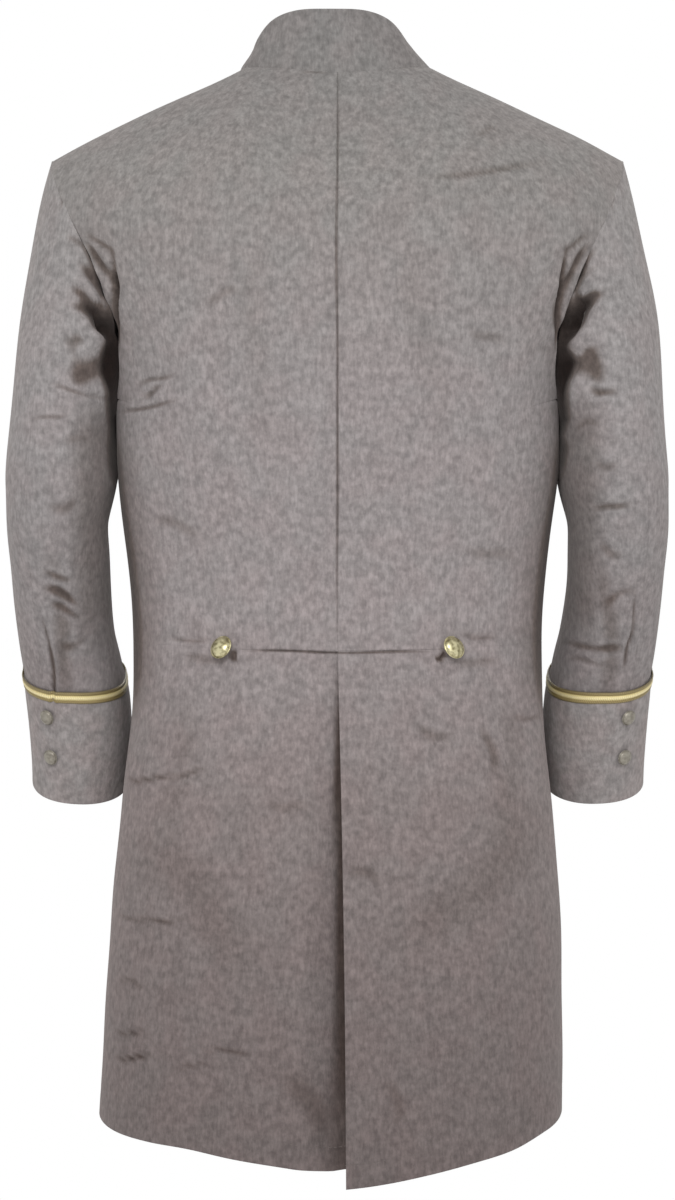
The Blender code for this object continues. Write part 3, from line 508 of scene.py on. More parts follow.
def on_face(face, *rows):
    """The creases on one face of the coat. Each row is a crease without its face."""
    return tuple(Crease(face, *row) for row in rows)


BACK_CREASES = on_face(
    "back",
    (0, -20, -1, -240, 1.2, 1.0),
    (-1, -150, 0, -420, 1.2, 1.1),
    (0, -330, 0, -500, 1.2, 0.9),
    (-76, -528, 6, -529, 1.3, 1.7),
    (-3, -529, 76, -529, 1.3, 1.7),
    (-94, -528, -90, -537, 2.6, 5),
    (94, -528, 90, -538, 2.6, 5),
    (-200, -189, -197, -248, 5, 3.6),
    (202, -189, 198, -248, 5, 3.6),
    (-223, -156, -201, -177, 2.6, 2.0),
    (-223, -164, -199, -210, 3.4, 3.4),
    (-203, -184, -198, -218, 3, 2.6),
    (-202, -170, -199, -218, 2, 2.2),
    (-200, -209, -197, -257, 2, 2.4),
    (223, -159, 200, -173, 2.6, 2.0),
    (223, -168, 199, -207, 3.4, 3.2),
    (203, -182, 198, -218, 3, 2.4),
    (202, -170, 199, -218, 2, 2.2),
    (199, -209, 196, -257, 2, 2.4),
    (-176, -291, -146, -284, 2.4, 1.5),
    (-173, -302, -156, -294, 3.2, 1.6),
    (-178, -296, -163, -296, 2, -0.7),
    (-193, -314, -145, -308, 2.2, 1.6),
    (84, -113, 178, -97, 3, 1.2),
    (90, -123, 174, -108, 5, -0.8),
    (123, -69, 143, -62, 3, 1.0),
    (-33, -10, -10, -11, 1.8, 0.9),
    (-116, -220, -86, -213, 5, 0.8),
    (116, -246, 147, -257, 5, 0.8),
    (-164, -413, -121, -423, 6, 0.9),
    (160, -448, 116, -437, 6, 0.9),
    (-66, -185, -77, -343, 16, 0.3),
    (72, -176, 83, -334, 17, 0.25),
    (-150, -519, -114, -518, 2.4, 1.2),
    (-138, -536, -98, -534, 3.5, 1.2),
    (109, -513, 143, -518, 3, 1.1),
    (103, -536, 143, -539, 4, 1.0),
)
SKIRT_CREASES = on_face(
    "back",
    (-192, -645, -148, -641, 2.6, 1.8),
    (-148, -639, -116, -633, 3, 1.0),
    (-194, -768, -137, -764, 2.4, 1.8),
    (-196, -822, -173, -824, 3, 1.2),
    (-198, -868, -171, -866, 2.2, 1.8),
    (-198, -891, -164, -885, 2.4, 2.2),
    (-198, -887, -166, -881, 2, -0.9),
    (-114, -875, -77, -875, 2.4, 1.4),
    (-141, -890, -111, -888, 2.4, 1.0),
    (130, -596, 140, -635, 5, 1.4),
    (158, -590, 186, -587, 3, 1.2),
    (71, -596, 101, -605, 5, 1.0),
    (11, -718, 38, -727, 6, 1.0),
    (175, -660, 64, -792, 26, 0.55),
    (-183, -704, -67, -792, 26, 0.45),
    (48, -898, 52, -934, 6, 0.8),
    (-60, -660, -24, -665, 5, 0.8),
    (-139, -571, -146, -695, 15, 0.4),
    (144, -563, 154, -686, 15, 0.4),
    (-34, -888, -14, -950, 13, 1.0),
)
FRONT_CREASES = on_face(
    "front",
    (150, -250, 100, -282, 7, 1.2),
    (-156, -246, -104, -290, 8, 1.1),
    (60, -500, 130, -486, 8, 0.9),
    (-66, -492, -128, -502, 8, 1.0),
    (178, -338, 150, -360, 6, 0.9),
    (-180, -344, -148, -350, 6, 0.9),
)
FRONT_SKIRT_CREASES = on_face(
    "front",
    (90, -560, 130, -700, 18, 0.9),
    (-88, -566, -126, -690, 18, 0.9),
    (140, -750, 196, -770, 9, 1.0),
    (-150, -800, -198, -790, 8, 1.1),
)
# Elbow and armhole wrinkles, on the wearer's right sleeve and then on the left one.
RIGHT_SLEEVE_CREASES = on_face(
    "back",
    (268, -479, 265, -524, 1.5, 1.8),
    (266, -512, 259, -544, 1.6, 2.8),
    (224, -215, 205, -241, 8, 7),
    (252, -92, 247, -133, 1.6, 1.4),
    (239, -142, 206, -164, 2.4, 1.6),
    (236, -150, 209, -171, 2.4, 1.4),
    (230, -172, 202, -203, 3.2, 2.8),
    (240, -191, 213, -218, 7, -0.8),
    (222, -184, 208, -224, 6.5, 4.2),
    (234, -207, 221, -218, 4.5, 3.4),
    (228, -212, 202, -246, 7.5, 8),
    (221, -247, 213, -263, 8, -3.0),
    (206, -272, 238, -280, 13, 3.0),
    (222, -294, 248, -300, 4, 1.9),
    (222, -306, 242, -304, 4, -1.0),
    (212, -330, 233, -324, 6, 1.4),
    (226, -404, 260, -396, 3.4, 2.0),
    (228, -359, 248, -366, 5, 1.2),
    (209, -523, 257, -528, 3.4, 2.2),
    (213, -537, 240, -541, 3, 1.2),
    (237, -447, 248, -573, 9, 1.2),
    (233, -436, 255, -443, 5, 1.2),
    (266, -474, 240, -485, 4, 1.5),
) + on_face(
    "front",
    (222, -196, 250, -270, 9, 1.6),
    (226, -396, 268, -380, 6, 1.8),
    (222, -418, 262, -408, 6, 1.3),
    (224, -446, 268, -440, 6, 1.5),
    (218, -520, 256, -506, 6, 1.1),
)
LEFT_SLEEVE_CREASES = on_face(
    "back",
    (-266, -499, -259, -541, 1.5, 2.0),
    (-259, -528, -258, -577, 1.7, 2.8),
    (-253, -93, -248, -131, 1.6, 1.4),
    (-218, -225, -202, -248, 7, 6),
    (-238, -141, -209, -166, 2.6, 1.8),
    (-241, -156, -221, -173, 2.8, 1.6),
    (-227, -169, -201, -209, 3.6, 3.0),
    (-232, -187, -211, -216, 6, -0.8),
    (-222, -182, -208, -222, 7, 5.5),
    (-234, -204, -218, -223, 4.5, 3.6),
    (-228, -215, -202, -248, 7.5, 8),
    (-221, -241, -217, -259, 8, -3.0),
    (-239, -259, -229, -245, 6, 1.2),
    (-236, -272, -205, -280, 13, 3.2),
    (-250, -293, -209, -303, 2.4, 1.9),
    (-249, -308, -225, -310, 3, -1.1),
    (-270, -322, -241, -318, 2.2, 1.2),
    (-241, -337, -218, -344, 6, 1.2),
    (-256, -404, -229, -393, 6, 1.2),
    (-265, -472, -229, -488, 4, 2.4),
    (-258, -488, -227, -499, 3.4, 1.8),
    (-263, -460, -236, -465, 3, 1.3),
    (-249, -526, -225, -519, 4, 1.4),
    (-258, -447, -241, -573, 9, 1.3),
) + on_face(
    "front",
    (-222, -200, -252, -268, 9, 1.6),
    (-224, -388, -266, -378, 6, 1.8),
    (-224, -410, -264, -416, 6, 1.2),
    (-222, -440, -262, -452, 6, 1.5),
    (-220, -508, -258, -522, 6, 1.1),
)
MM = 0.001
# Painted shade in the creases, darkening the cloth's colour:
FOLD_DARK = 0.0042      # a trough as deep as this is in nearly two thirds of full shade

# The shape of every crease, in its own half lengths and widths: how far and how fast it wanders, and where
# its ends have faded out. It is full on cloth that faces its way by FACES or more. Then come its lips.
WANDER, WANDER_RATE, ENDS_AT, FACES = 0.5, 2.4, 1.35, 0.35
LIP_HIGH, LIP_AT, LIP_WIDE = 0.38, 1.7, 0.8


def creased(points, normals, creases):
    """The depth of the creases at each point: a trough with a low lip on either side, soft at both ends."""
    depth = np.zeros(points.shape[:-1])
    for crease in creases:
        start, end = np.array((crease.x1, crease.z1)) * MM, np.array((crease.x2, crease.z2)) * MM
        way = (end - start) / np.linalg.norm(end - start)
        place = points[..., (0, 2)] - (start + end) / 2
        run = place @ way / (np.linalg.norm(end - start) / 2)
        off = place @ np.array((-way[1], way[0])) / (crease.wide * MM)
        off = off + WANDER * np.sin(run * WANDER_RATE + crease.x1)
        facing = normals[..., 1] * (1 if crease.face == "front" else -1)
        fade = ease(ENDS_AT - np.abs(run)) * ease(facing / FACES)
        trough = np.exp(-off ** 2) - LIP_HIGH * np.exp(-((np.abs(off) - LIP_AT) / LIP_WIDE) ** 2)
        depth -= crease.deep * MM * trough * fade
    return depth


def at_heights(rows, columns, z):
    """A table's columns at heights z, in metres. The table is in mm."""
    heights = [row.z * MM for row in rows]
    return [np.interp(z, heights, [getattr(row, column) * MM for row in rows]) for column in columns]


# The hollow under each arm, where the sleeve's spare cloth falls in behind the body: the height, how far
# out from the middle it starts, how deep it is and how far the sleeve leans in to the body there, in mm.
Hollow = namedtuple("Hollow", "z out deep lean")
RIGHT_HOLLOW = (Hollow(-480, 200, 0, 0), Hollow(-400, 203, 0, 0), Hollow(-372, 205, 5, 1),
                Hollow(-358, 207, 9, 3), Hollow(-345, 209, 9, 3), Hollow(-334, 206, 9, 3),
                Hollow(-320, 210, 9, 2), Hollow(-303, 207, 9, 0), Hollow(-288, 208, 9, 0),
                Hollow(-270, 213, 9, 0), Hollow(-256, 209, 8, 0), Hollow(-232, 213, 8, 0),
                Hollow(-204, 208, 4, 0), Hollow(-172, 202, 0, 0), Hollow(0, 200, 0, 0))
LEFT_HOLLOW = (Hollow(-480, 200, 0, 0), Hollow(-400, 203, 0, 0), Hollow(-376, 205, 5, 1),
               Hollow(-362, 207, 9, 3), Hollow(-345, 208, 9, 3), Hollow(-328, 207, 9, 3),
               Hollow(-310, 208, 9, 1), Hollow(-296, 208, 9, 0), Hollow(-280, 213, 9, 0),
               Hollow(-258, 212, 9, 0), Hollow(-236, 210, 8, 0), Hollow(-204, 205, 3, 0),
               Hollow(-172, 202, 0, 0), Hollow(0, 200, 0, 0))
HOLLOW_DEEPEST, HOLLOW_EDGE = 0.009, 0.007       # and the width over which its edge rounds off
HOLLOW_AHEAD = 0.02                              # it fades out from the coat's middle to this far in front
LEAN_STARTS, LEAN_OVER = 0.214, 0.016            # the cloth nearer the middle than this leans in


def hollow_at(points, side):
    """How far the cloth has sunk into the hollow at each point, from 0 to 1, then its depth and its lean."""
    rows = RIGHT_HOLLOW if side > 0 else LEFT_HOLLOW
    out, deep, lean = at_heights(rows, ("out", "deep", "lean"), points[..., 2])
    behind = ease((HOLLOW_AHEAD - points[..., 1]) / HOLLOW_AHEAD)
    return ease(0.5 + (out - points[..., 0] * side) / HOLLOW_EDGE) * behind, deep, lean


# The fold beside the vent, where the wearer's left skirt goes in under the right one and its colour is darkened
# by painted shade: the height, where across the back the shade starts and where it is full, and how deep the
# cloth goes, in mm.
Fold = namedtuple("Fold", "z starts full deep")
VENT_FOLD = (Fold(-985, -20, 5, 4), Fold(-945, -19, 5, 5), Fold(-915, -13, 5, 6),
             Fold(-870, -7, 5, 6), Fold(-790, -4.5, 3, 6), Fold(-705, -3.5, 1, 5),
             Fold(-640, -3.8, 0, 5), Fold(-580, -2.6, 0, 3), Fold(-555, -1.2, 0.6, 1.5),
             Fold(-535, -0.2, 1, 0), Fold(0, 0, 1, 0))
VENT_BEHIND = -0.03                              # only cloth further back than this is in the fold
# The painted shade in the fold:
VENT_DARK, VENT_FOOT_SHARE = 0.48, 0.55          # its shade at most, and the share of it left at the hem
VENT_FOOT_Z, VENT_FOOT_HIGH = -0.95, 0.09        # where that share starts to rise, and over what height
VENT_DARK_FROM = 0.004                           # a fold as deep as this is in full shade


def vent_at(points):
    """How far into the vent's fold each point of the left skirt is, from 0 to 1, then the fold's depth."""
    starts, full, deep = at_heights(VENT_FOLD, ("starts", "full", "deep"), points[..., 2])
    behind = points[..., 1] < VENT_BEHIND
    return ease((points[..., 0] - starts) / (full - starts)) * behind, deep


def vent_shade(points):
    """The painted shade on the left skirt in the fold beside the vent, from 0 to 1."""
    share, deep = vent_at(points)
    risen = ease((points[..., 2] - VENT_FOOT_Z) / VENT_FOOT_HIGH)
    above_hem = VENT_FOOT_SHARE + (1 - VENT_FOOT_SHARE) * risen
    return VENT_DARK * share * above_hem * np.minimum(deep / VENT_DARK_FROM, 1)


# Painted shade where a sleeve and the body's side hang close together and the light hardly reaches the cloth:
# how dark it is at most, how far from a middle line the shade ends and over what width it fades, then its top
# and its foot.
Band = namedtuple("Band", "dark ends fades")
SIDE_BANDS = (Band(0.58, 0.052, 0.022), Band(0.17, 0.080, 0.035))
SIDE_TOP, SIDE_FOOT = -0.32, -0.60
SLEEVE_BANDS = (Band(0.20, 0.246, 0.022),)
SLEEVE_TOP, SLEEVE_FOOT = -0.29, -0.54
TOP_FADES, FOOT_FADES = 0.05, 0.06


def hidden_shade(out, z, bands, top, foot):
    """How far painted shade darkens cloth at a distance out and a height z, from 0 to 1."""
    beside = sum(band.dark * ease((band.ends - out) / band.fades) for band in bands)
    return beside * ease((top - z) / TOP_FADES) * ease((z - foot) / FOOT_FADES)


def arm_shade(points):
    """The painted shade on the body's side where the arm hangs beside it, from 0 to 1."""
    return hidden_shade(np.abs(points[..., 1]), points[..., 2], SIDE_BANDS, SIDE_TOP, SIDE_FOOT)


def body_shade(points):
    """The painted shade on the sleeve's inner side where it hangs beside the body, from 0 to 1."""
    return hidden_shade(np.abs(points[..., 0]), points[..., 2], SLEEVE_BANDS, SLEEVE_TOP, SLEEVE_FOOT)


def sunk(points, side):
    """Points of a sleeve, moved into the hollow under the arm."""
    share, deep, lean = hollow_at(points, side)
    inward = ease((LEAN_STARTS - points[..., 0] * side) / LEAN_OVER)
    return points + joined(-side * lean * inward, share * deep, 0)


BODY_SEED, SLEEVE_SEED = 3, 11
SWELL_COUNT, SWELL_LENGTH = 14, 0.11


def unevenness(points, seed, size):
    """Slow swells of the cloth, longer down the coat than across it."""
    random = np.random.default_rng(seed)
    total = np.zeros(points.shape[:-1])
    for _ in range(SWELL_COUNT):
        way = random.normal(size=3) * (1, 1, 0.5)
        way /= np.linalg.norm(way) * SWELL_LENGTH * random.uniform(0.6, 1.7) / (2 * math.pi)
        total += np.sin(points @ way + random.uniform(0, 2 * math.pi))
    return total * size / math.sqrt(SWELL_COUNT / 2)


# ---------------------------------------------------------------- laying a piece of cloth

NEAR_EDGE = (0.0, 0.0003, 0.0007, 0.0012, 0.0018, 0.0030)
EVEN_FROM = 0.0045      # from here on, the grid's lines are evenly apart


def spaced(length, step):
    """Shares of a length, a step apart, and closer together beside each end."""
    count = max(3, round((length - 2 * EVEN_FROM) / step) + 1)
    middle = np.linspace(EVEN_FROM, length - EVEN_FROM, count)
    near = np.array(NEAR_EDGE)
    return np.concatenate([near, middle, (length - near)[::-1]]) / length


def run_lengths(points, axis):
    """The distances over the cloth from the first edge and from the last one, square to that edge."""
    steps = np.linalg.norm(np.diff(points, axis=axis), axis=-1)
    first = np.insert(np.cumsum(steps, axis=axis), 0, 0, axis=axis)
    last = np.take(first, [-1], axis=axis) - first
    across, beside = (unit(np.gradient(points, axis=way)) for way in (axis, 1 - axis))
    square = np.linalg.norm(np.cross(across, beside), axis=-1)
    return first * np.take(square, [0], axis=axis), last * np.take(square, [-1], axis=axis)


def rolled(distance, wide, deep):
    """How far cloth has turned down at a distance from its edge, on a quarter of an ellipse."""
    near = np.clip(1 - distance / wide, 0, 1)
    return deep * (1 - np.sqrt(1 - near ** 2))


def linked(name, mesh):
    """An object for a mesh, in the scene."""
    piece = bpy.data.objects.new(name, mesh)
    bpy.context.scene.collection.objects.link(piece)
    return piece


def wrapped(index):
    """A grid's point numbers with its first column again after the last one, so that it closes round."""
    return np.concatenate([index, index[:, :1]], axis=1)


def cell_corners(index):
    """The four corners of each cell of a grid, going down its columns first."""
    cells = np.stack([index[:-1, :-1], index[1:, :-1], index[1:, 1:], index[:-1, 1:]], axis=-1)
    return cells.reshape(-1, 4)


TURNED = (0, 3, 2, 1)     # the order of a cell's corners that makes it face the other way


def mesh_of(name, grids, look, closed=False, shade=None):
    """One object from the outer and inner grids of a piece of cloth, joined round the edges.

    The shade is painted shade: how far the cloth's colour is darkened at each point, from 0 to 1, deep in a
    fold and where light hardly reaches."""
    outer, inner = grids
    rows, columns = outer.shape[:2]
    index = np.arange(rows * columns).reshape(rows, columns)
    if closed:
        index = wrapped(index)
    under = index + rows * columns
    faces = [cell_corners(index), cell_corners(under)[:, TURNED]]
    rims = [(index[0], under[0], False), (index[-1], under[-1], True)]
    if not closed:
        rims += [(index[:, 0], under[:, 0], True), (index[:, -1], under[:, -1], False)]
    for over, below, turned in rims:
        strip = np.stack([over[:-1], over[1:], below[1:], below[:-1]], axis=-1)
        faces.append(strip[:, ::-1] if turned else strip)
    faces = np.concatenate(faces)
    mesh = bpy.data.meshes.new(name)
    points = np.concatenate([outer.reshape(-1, 3), inner.reshape(-1, 3)])
    mesh.from_pydata(points.tolist(), [], faces.tolist())
    mesh.shade_smooth()
    mesh.materials.append(look)
    # The painted shade is kept on the mesh, for the cloth's colour to read.
    if shade is not None:
        kept = mesh.attributes.new("fold_shade", "FLOAT", "POINT")
        kept.data.foreach_set("value", np.concatenate([shade.ravel(), shade.ravel()]).astype(np.float32))
    return linked(name, mesh)


# How an edge turns in: over what width, how deep, and whether the cloth's inner face turns too.
Edge = namedtuple("Edge", "wide deep both")
SEAM_EDGE = Edge(0.0012, 0.00045, False)
FLAT_EDGE = Edge(0.0009, 0.00022, False)
CENTRE_EDGE = Edge(0.0017, 0.0011, False)
SIDE_BACK_EDGE = Edge(0.0062, 0.0012, False)
WAIST_EDGE = Edge(0.0026, 0.0015, False)
SLEEVE_EDGE = Edge(0.0016, 0.0012, False)
COLLAR_EDGE = Edge(0.0016, 0.0014, True)
FREE_EDGE = Edge(0.0013, 0.00095, True)

# How far a piece runs on under its neighbour at a seam.
SEAM_LAP, CENTRE_SEAM_LAP, SIDE_BACK_LAP, WAIST_LAP, COLLAR_LAP = 0.0007, 0.0003, 0.0042, 0.0008, 0.0027

# A row of stitches: the edge that it runs beside, how far in from it, how deep it pulls and over what width.
Row = namedtuple("Row", "edge inset deep wide")
RIGHT, TOP, FOOT = 1, 2, 3
PUCKER = np.array((310.0, 290.0, 330.0))     # how fast the pull comes and goes along each axis


def edge_row(edge):
    """The row of stitches just inside a free edge."""
    return Row(edge, 0.006, 0.0003, 0.0011)


CLOTH_STEP, BODY_STEP, COLLAR_STEP, SLEEVE_TOP_STEP, SLEEVE_UNDER_STEP = 0.004, 0.0027, 0.003, 0.0042, 0.0024


def lay_cloth(name, surface, size, edges, look, centre, creases, swell,
              thick=WALL, stitched=(), seed=BODY_SEED, step=CLOTH_STEP, shade_at=None):
    """A piece of cloth on a surface given by shares across and down, with its edges turned in.

    The edges are the left, right, upper and lower one, numbered from 0. The size is the room across and down
    that the grid's steps share out, and the centre is what the cloth faces away from."""
    u, v = np.meshgrid(spaced(size[0], step), spaced(size[1], step))
    points = surface(u, v)
    normals = unit(np.cross(np.gradient(points, axis=0), np.gradient(points, axis=1)))
    turned = ((points - centre(points)) * normals).sum() < 0
    normals = -normals if turned else normals
    distances = run_lengths(points, 1) + run_lengths(points, 0)
    outer_roll, inner_roll = np.zeros(u.shape), np.zeros(u.shape)
    for distance, edge in zip(distances, edges):
        roll = rolled(distance, edge.wide, edge.deep)
        outer_roll = np.maximum(outer_roll, roll)
        if edge.both:
            inner_roll = np.maximum(inner_roll, roll)
    folds = creased(points, normals, creases)
    # Painted shade: the colour darkens in the creases' troughs, and by shade_at where light hardly reaches.
    shade = 1 - np.exp(np.minimum(folds, 0) / FOLD_DARK)
    if shade_at:
        shade = np.maximum(shade, shade_at(points))
    relief = unevenness(points, seed, swell) + folds
    for row in stitched:
        pull = 0.75 + 0.25 * np.sin(points @ PUCKER)
        relief -= row.deep * pull * np.exp(-((distances[row.edge] - row.inset) / row.wide) ** 2)
    outer = points + normals * (relief - outer_roll)[..., None]
    inner = points + normals * (relief - thick + inner_roll)[..., None]
    if turned:
        outer, inner, shade = outer[:, ::-1], inner[:, ::-1], shade[:, ::-1]
    return mesh_of(name, (outer, inner), look, shade=shade)


def coat_middle(points):
    return points * (0, 0, 1)


def arm_centre(side):
    return lambda points: arm_middle(points[..., 2]) * (side, 1, 1)


MOST_RUN_ON = 0.12      # of the surface's own size
LEAST_SPAN = 0.01       # where a surface is narrower than this, it isn't run on


def share_of(surface, u, v, length, axis):
    """The share of the surface, across or down it, that this length square to its edge takes."""
    step = 0.002
    across = (surface(u + step, v) - surface(u - step, v)) / (2 * step)
    down = (surface(u, v + step) - surface(u, v - step)) / (2 * step)
    span = np.linalg.norm(np.cross(across, down), axis=-1)
    span /= np.maximum(np.linalg.norm(across if axis else down, axis=-1), 1e-6)
    return np.where(span > LEAST_SPAN, np.minimum(length / np.maximum(span, LEAST_SPAN), MOST_RUN_ON), 0.0)


def run_on(surface, left, right, above=0.0, below=0.0):
    """The surface run on past its edges by these lengths, square to them, so that no seam gapes."""
    def wider(u, v):
        first = share_of(surface, 0 * u, v, left, 0)
        last = share_of(surface, 0 * u + 1, v, right, 0)
        top = share_of(surface, u, 0 * v, above, 1)
        foot = share_of(surface, u, 0 * v + 1, below, 1)
        return surface(u * (1 + first + last) - first, v * (1 + top + foot) - top)
    return wider


ALL_TORSO_CREASES = BACK_CREASES + SKIRT_CREASES + FRONT_CREASES + FRONT_SKIRT_CREASES


def body_cloth(name, surface, size, edges, looks, coat, **more):
    """A piece of the body or of the skirts, which share their cloth and creases."""
    return lay_cloth(name, surface, size, edges, looks["wool"], coat_middle, ALL_TORSO_CREASES,
                     coat.swell, **more)


def make_backs(looks, coat):
    edges = (CENTRE_EDGE, FLAT_EDGE, FLAT_EDGE, WAIST_EDGE)
    for word, side in SIDES:
        surface = run_on(panel_surface(back_spot, side), CENTRE_SEAM_LAP, SEAM_LAP)
        piece = body_cloth(f"cloth_back_{word}", surface, (0.235, 0.530), edges, looks, coat, step=BODY_STEP)
        yield piece, f"back_{word}", "coat_cloth"


def make_side_backs(looks, coat):
    edges = (SIDE_BACK_EDGE, SEAM_EDGE, FLAT_EDGE, SEAM_EDGE)
    for word, side in SIDES:
        surface = run_on(panel_surface(side_back_spot, side), SIDE_BACK_LAP, SEAM_LAP)
        piece = body_cloth(f"cloth_side_back_{word}", surface, (0.130, 0.230), edges, looks, coat,
                           step=BODY_STEP, shade_at=arm_shade)
        yield piece, f"side_back_{word}", "coat_cloth"


def make_fronts(looks, coat):
    edges = (SEAM_EDGE, FREE_EDGE, SEAM_EDGE, SEAM_EDGE)
    for word, side in SIDES:
        surface = run_on(panel_surface(front_spot, side), SEAM_LAP, 0.0)
        piece = body_cloth(f"cloth_front_{word}", surface, (0.300, 0.530), edges, looks, coat,
                           stitched=(edge_row(RIGHT),), shade_at=arm_shade)
        yield piece, f"front_{word}", "coat_cloth"


def into_vent(surface):
    """The left skirt's surface, sunk into the fold beside the vent."""
    def lower(u, v):
        points = surface(u, v)
        share, deep = vent_at(points)
        return points + joined(0, share * deep, 0)
    return lower


# Painted shade on the left skirt, in the vent's fold and where the arm hangs beside it.
def left_skirt_shade(points):
    return np.maximum(vent_shade(points), arm_shade(points))


def make_skirts(looks, coat):
    edges = (FREE_EDGE, FREE_EDGE, SEAM_EDGE, FREE_EDGE)
    stitched = (Row(FOOT, coat.hem, 0.0006, 0.0013), edge_row(RIGHT))
    for word, side in SIDES:
        surface = run_on(skirt_surface(side), 0.0, 0.0, WAIST_LAP)
        if side < 0:
            surface = into_vent(surface)
        piece = body_cloth(f"cloth_skirt_{word}", surface, (0.640, 0.460), edges, looks, coat,
                           stitched=stitched, shade_at=left_skirt_shade if side < 0 else arm_shade)
        yield piece, f"skirt_{word}", "coat_cloth"


COLLAR_THICK, COLLAR_SWELL = 0.003, 0.5      # the collar is thicker, and swells half as much


def make_collar(looks, coat):
    surface = run_on(collar_surface, 0.0, 0.0, 0.0, COLLAR_LAP)
    edges = (FREE_EDGE, FREE_EDGE, COLLAR_EDGE, SEAM_EDGE)
    piece = lay_cloth("cloth_collar", surface, (0.400, 0.060), edges, looks["wool"], coat_middle, (),
                      coat.swell * COLLAR_SWELL, thick=COLLAR_THICK, stitched=(edge_row(TOP),),
                      step=COLLAR_STEP)
    yield piece, "collar", "coat_cloth"


SLEEVE_HALVES = (("top", FORE_COLUMN - COLUMNS, HIND_COLUMN, SLEEVE_TOP_STEP),
                 ("under", HIND_COLUMN, FORE_COLUMN, SLEEVE_UNDER_STEP))
SLEEVE_LAP = 0.02       # in columns, at each long seam


def sleeve_creases(side):
    return RIGHT_SLEEVE_CREASES if side > 0 else LEFT_SLEEVE_CREASES


def round_arm(over_count, under_count):
    """Columns over the sleeve's top half, then under its other half, this many on each."""
    over = np.linspace(FORE_COLUMN - COLUMNS, HIND_COLUMN, over_count, endpoint=False)
    under = np.linspace(HIND_COLUMN, FORE_COLUMN, under_count, endpoint=False)
    return over, under


def make_sleeves(looks, coat):
    edges = (SLEEVE_EDGE, SLEEVE_EDGE, FLAT_EDGE, FREE_EDGE)
    for word, side in SIDES:
        # Painted shade on the sleeve: in the hollow under the arm, darker as it sinks deeper, and on its inner
        # side beside the body.
        def shade_at(points, side=side):
            share, deep, _ = hollow_at(points, side)
            return np.maximum(share * deep / HOLLOW_DEEPEST, body_shade(points))

        for part, first, last, step in SLEEVE_HALVES:
            def surface(u, v, side=side, first=first - SLEEVE_LAP, last=last + SLEEVE_LAP):
                return sunk(sleeve_point(first + (last - first) * u, v) * (side, 1, 1), side)

            piece = lay_cloth(f"cloth_sleeve_{part}_{word}", surface, (0.205, 0.640), edges, looks["sleeve"],
                              arm_centre(side), sleeve_creases(side), coat.swell,
                              seed=SLEEVE_SEED + side, step=step, shade_at=shade_at)
            yield piece, f"sleeve_{part}_{word}", "coat_cloth"


CUFF_SEWN, CUFF_SEWN_WIDE = 0.0012, 0.012     # the braid's stitches draw the upper edge down, over this width
CUFF_STEP = 0.004


def make_cuffs(looks, coat):
    for word, side in SIDES:
        u, v = np.meshgrid(np.concatenate(round_arm(64, 56)), spaced(CUFF_HEIGHT * 1.2, CUFF_STEP))
        top = cuff_v(u)
        v = top + (1 - top) * v
        points, normals = sleeve_frame(u, v, side)
        lower, upper = run_lengths(points, 0)[::-1]
        roll = np.maximum(*(rolled(distance, FREE_EDGE.wide, FREE_EDGE.deep) for distance in (lower, upper)))
        sewn = CUFF_SEWN * np.exp(-(upper / CUFF_SEWN_WIDE) ** 2)
        relief = (CUFF_LIFT - sewn + creased(points, normals, sleeve_creases(side))
                  + unevenness(points, SLEEVE_SEED + side, coat.swell))
        grids = [points + normals * lift[..., None] for lift in (relief - roll, relief - WALL + roll)]
        if side < 0:
            grids = [grid[:, ::-1] for grid in grids]
        yield mesh_of(f"cloth_cuff_{word}", grids, looks["cuff"], closed=True), f"cuff_{word}", "cuff_cloth"


# ---------------------------------------------------------------- braid, knots and buttons

def sleeve_relief(points, normals, side, swell):
    """What the sleeve's creases and swells add at each point, so that trim lies on them."""
    return unevenness(points, SLEEVE_SEED + side, swell) + creased(points, normals, sleeve_creases(side))


RIB_COUNT = 21          # places across a braid
BRAID_BACK = 0.0002     # its back lies this far into the cloth
RIB_HALF, CORD_AT, CORD_HALF, WEB_HALF = 0.21, 0.36, 0.14, 0.45     # shares of its width
CORD_HIGH, WEB_HIGH = 0.78, 0.35                                    # shares of the rib's height
BRAID_BELOW = 0.0032    # from the cuff's edge to the middle of its braid, which hides the edge


def braid_profile(wide, thick):
    """Places across a flat braid, as (sideways, up): a raised middle rib, two edge cords and a flat back."""
    share = np.linspace(-0.5, 0.5, RIB_COUNT)
    middle = np.sqrt(np.clip(1 - (share / RIB_HALF) ** 2, 0, 1))
    cords = CORD_HIGH * np.sqrt(np.clip(1 - ((np.abs(share) - CORD_AT) / CORD_HALF) ** 2, 0, 1))
    web = WEB_HIGH * (np.abs(share) < WEB_HALF)
    height = np.maximum(np.maximum(middle, cords), web) * thick
    back = np.array((0.5, 0.0, -0.5))
    return np.concatenate([share, back]) * wide, np.concatenate([height, back * 0 - BRAID_BACK])


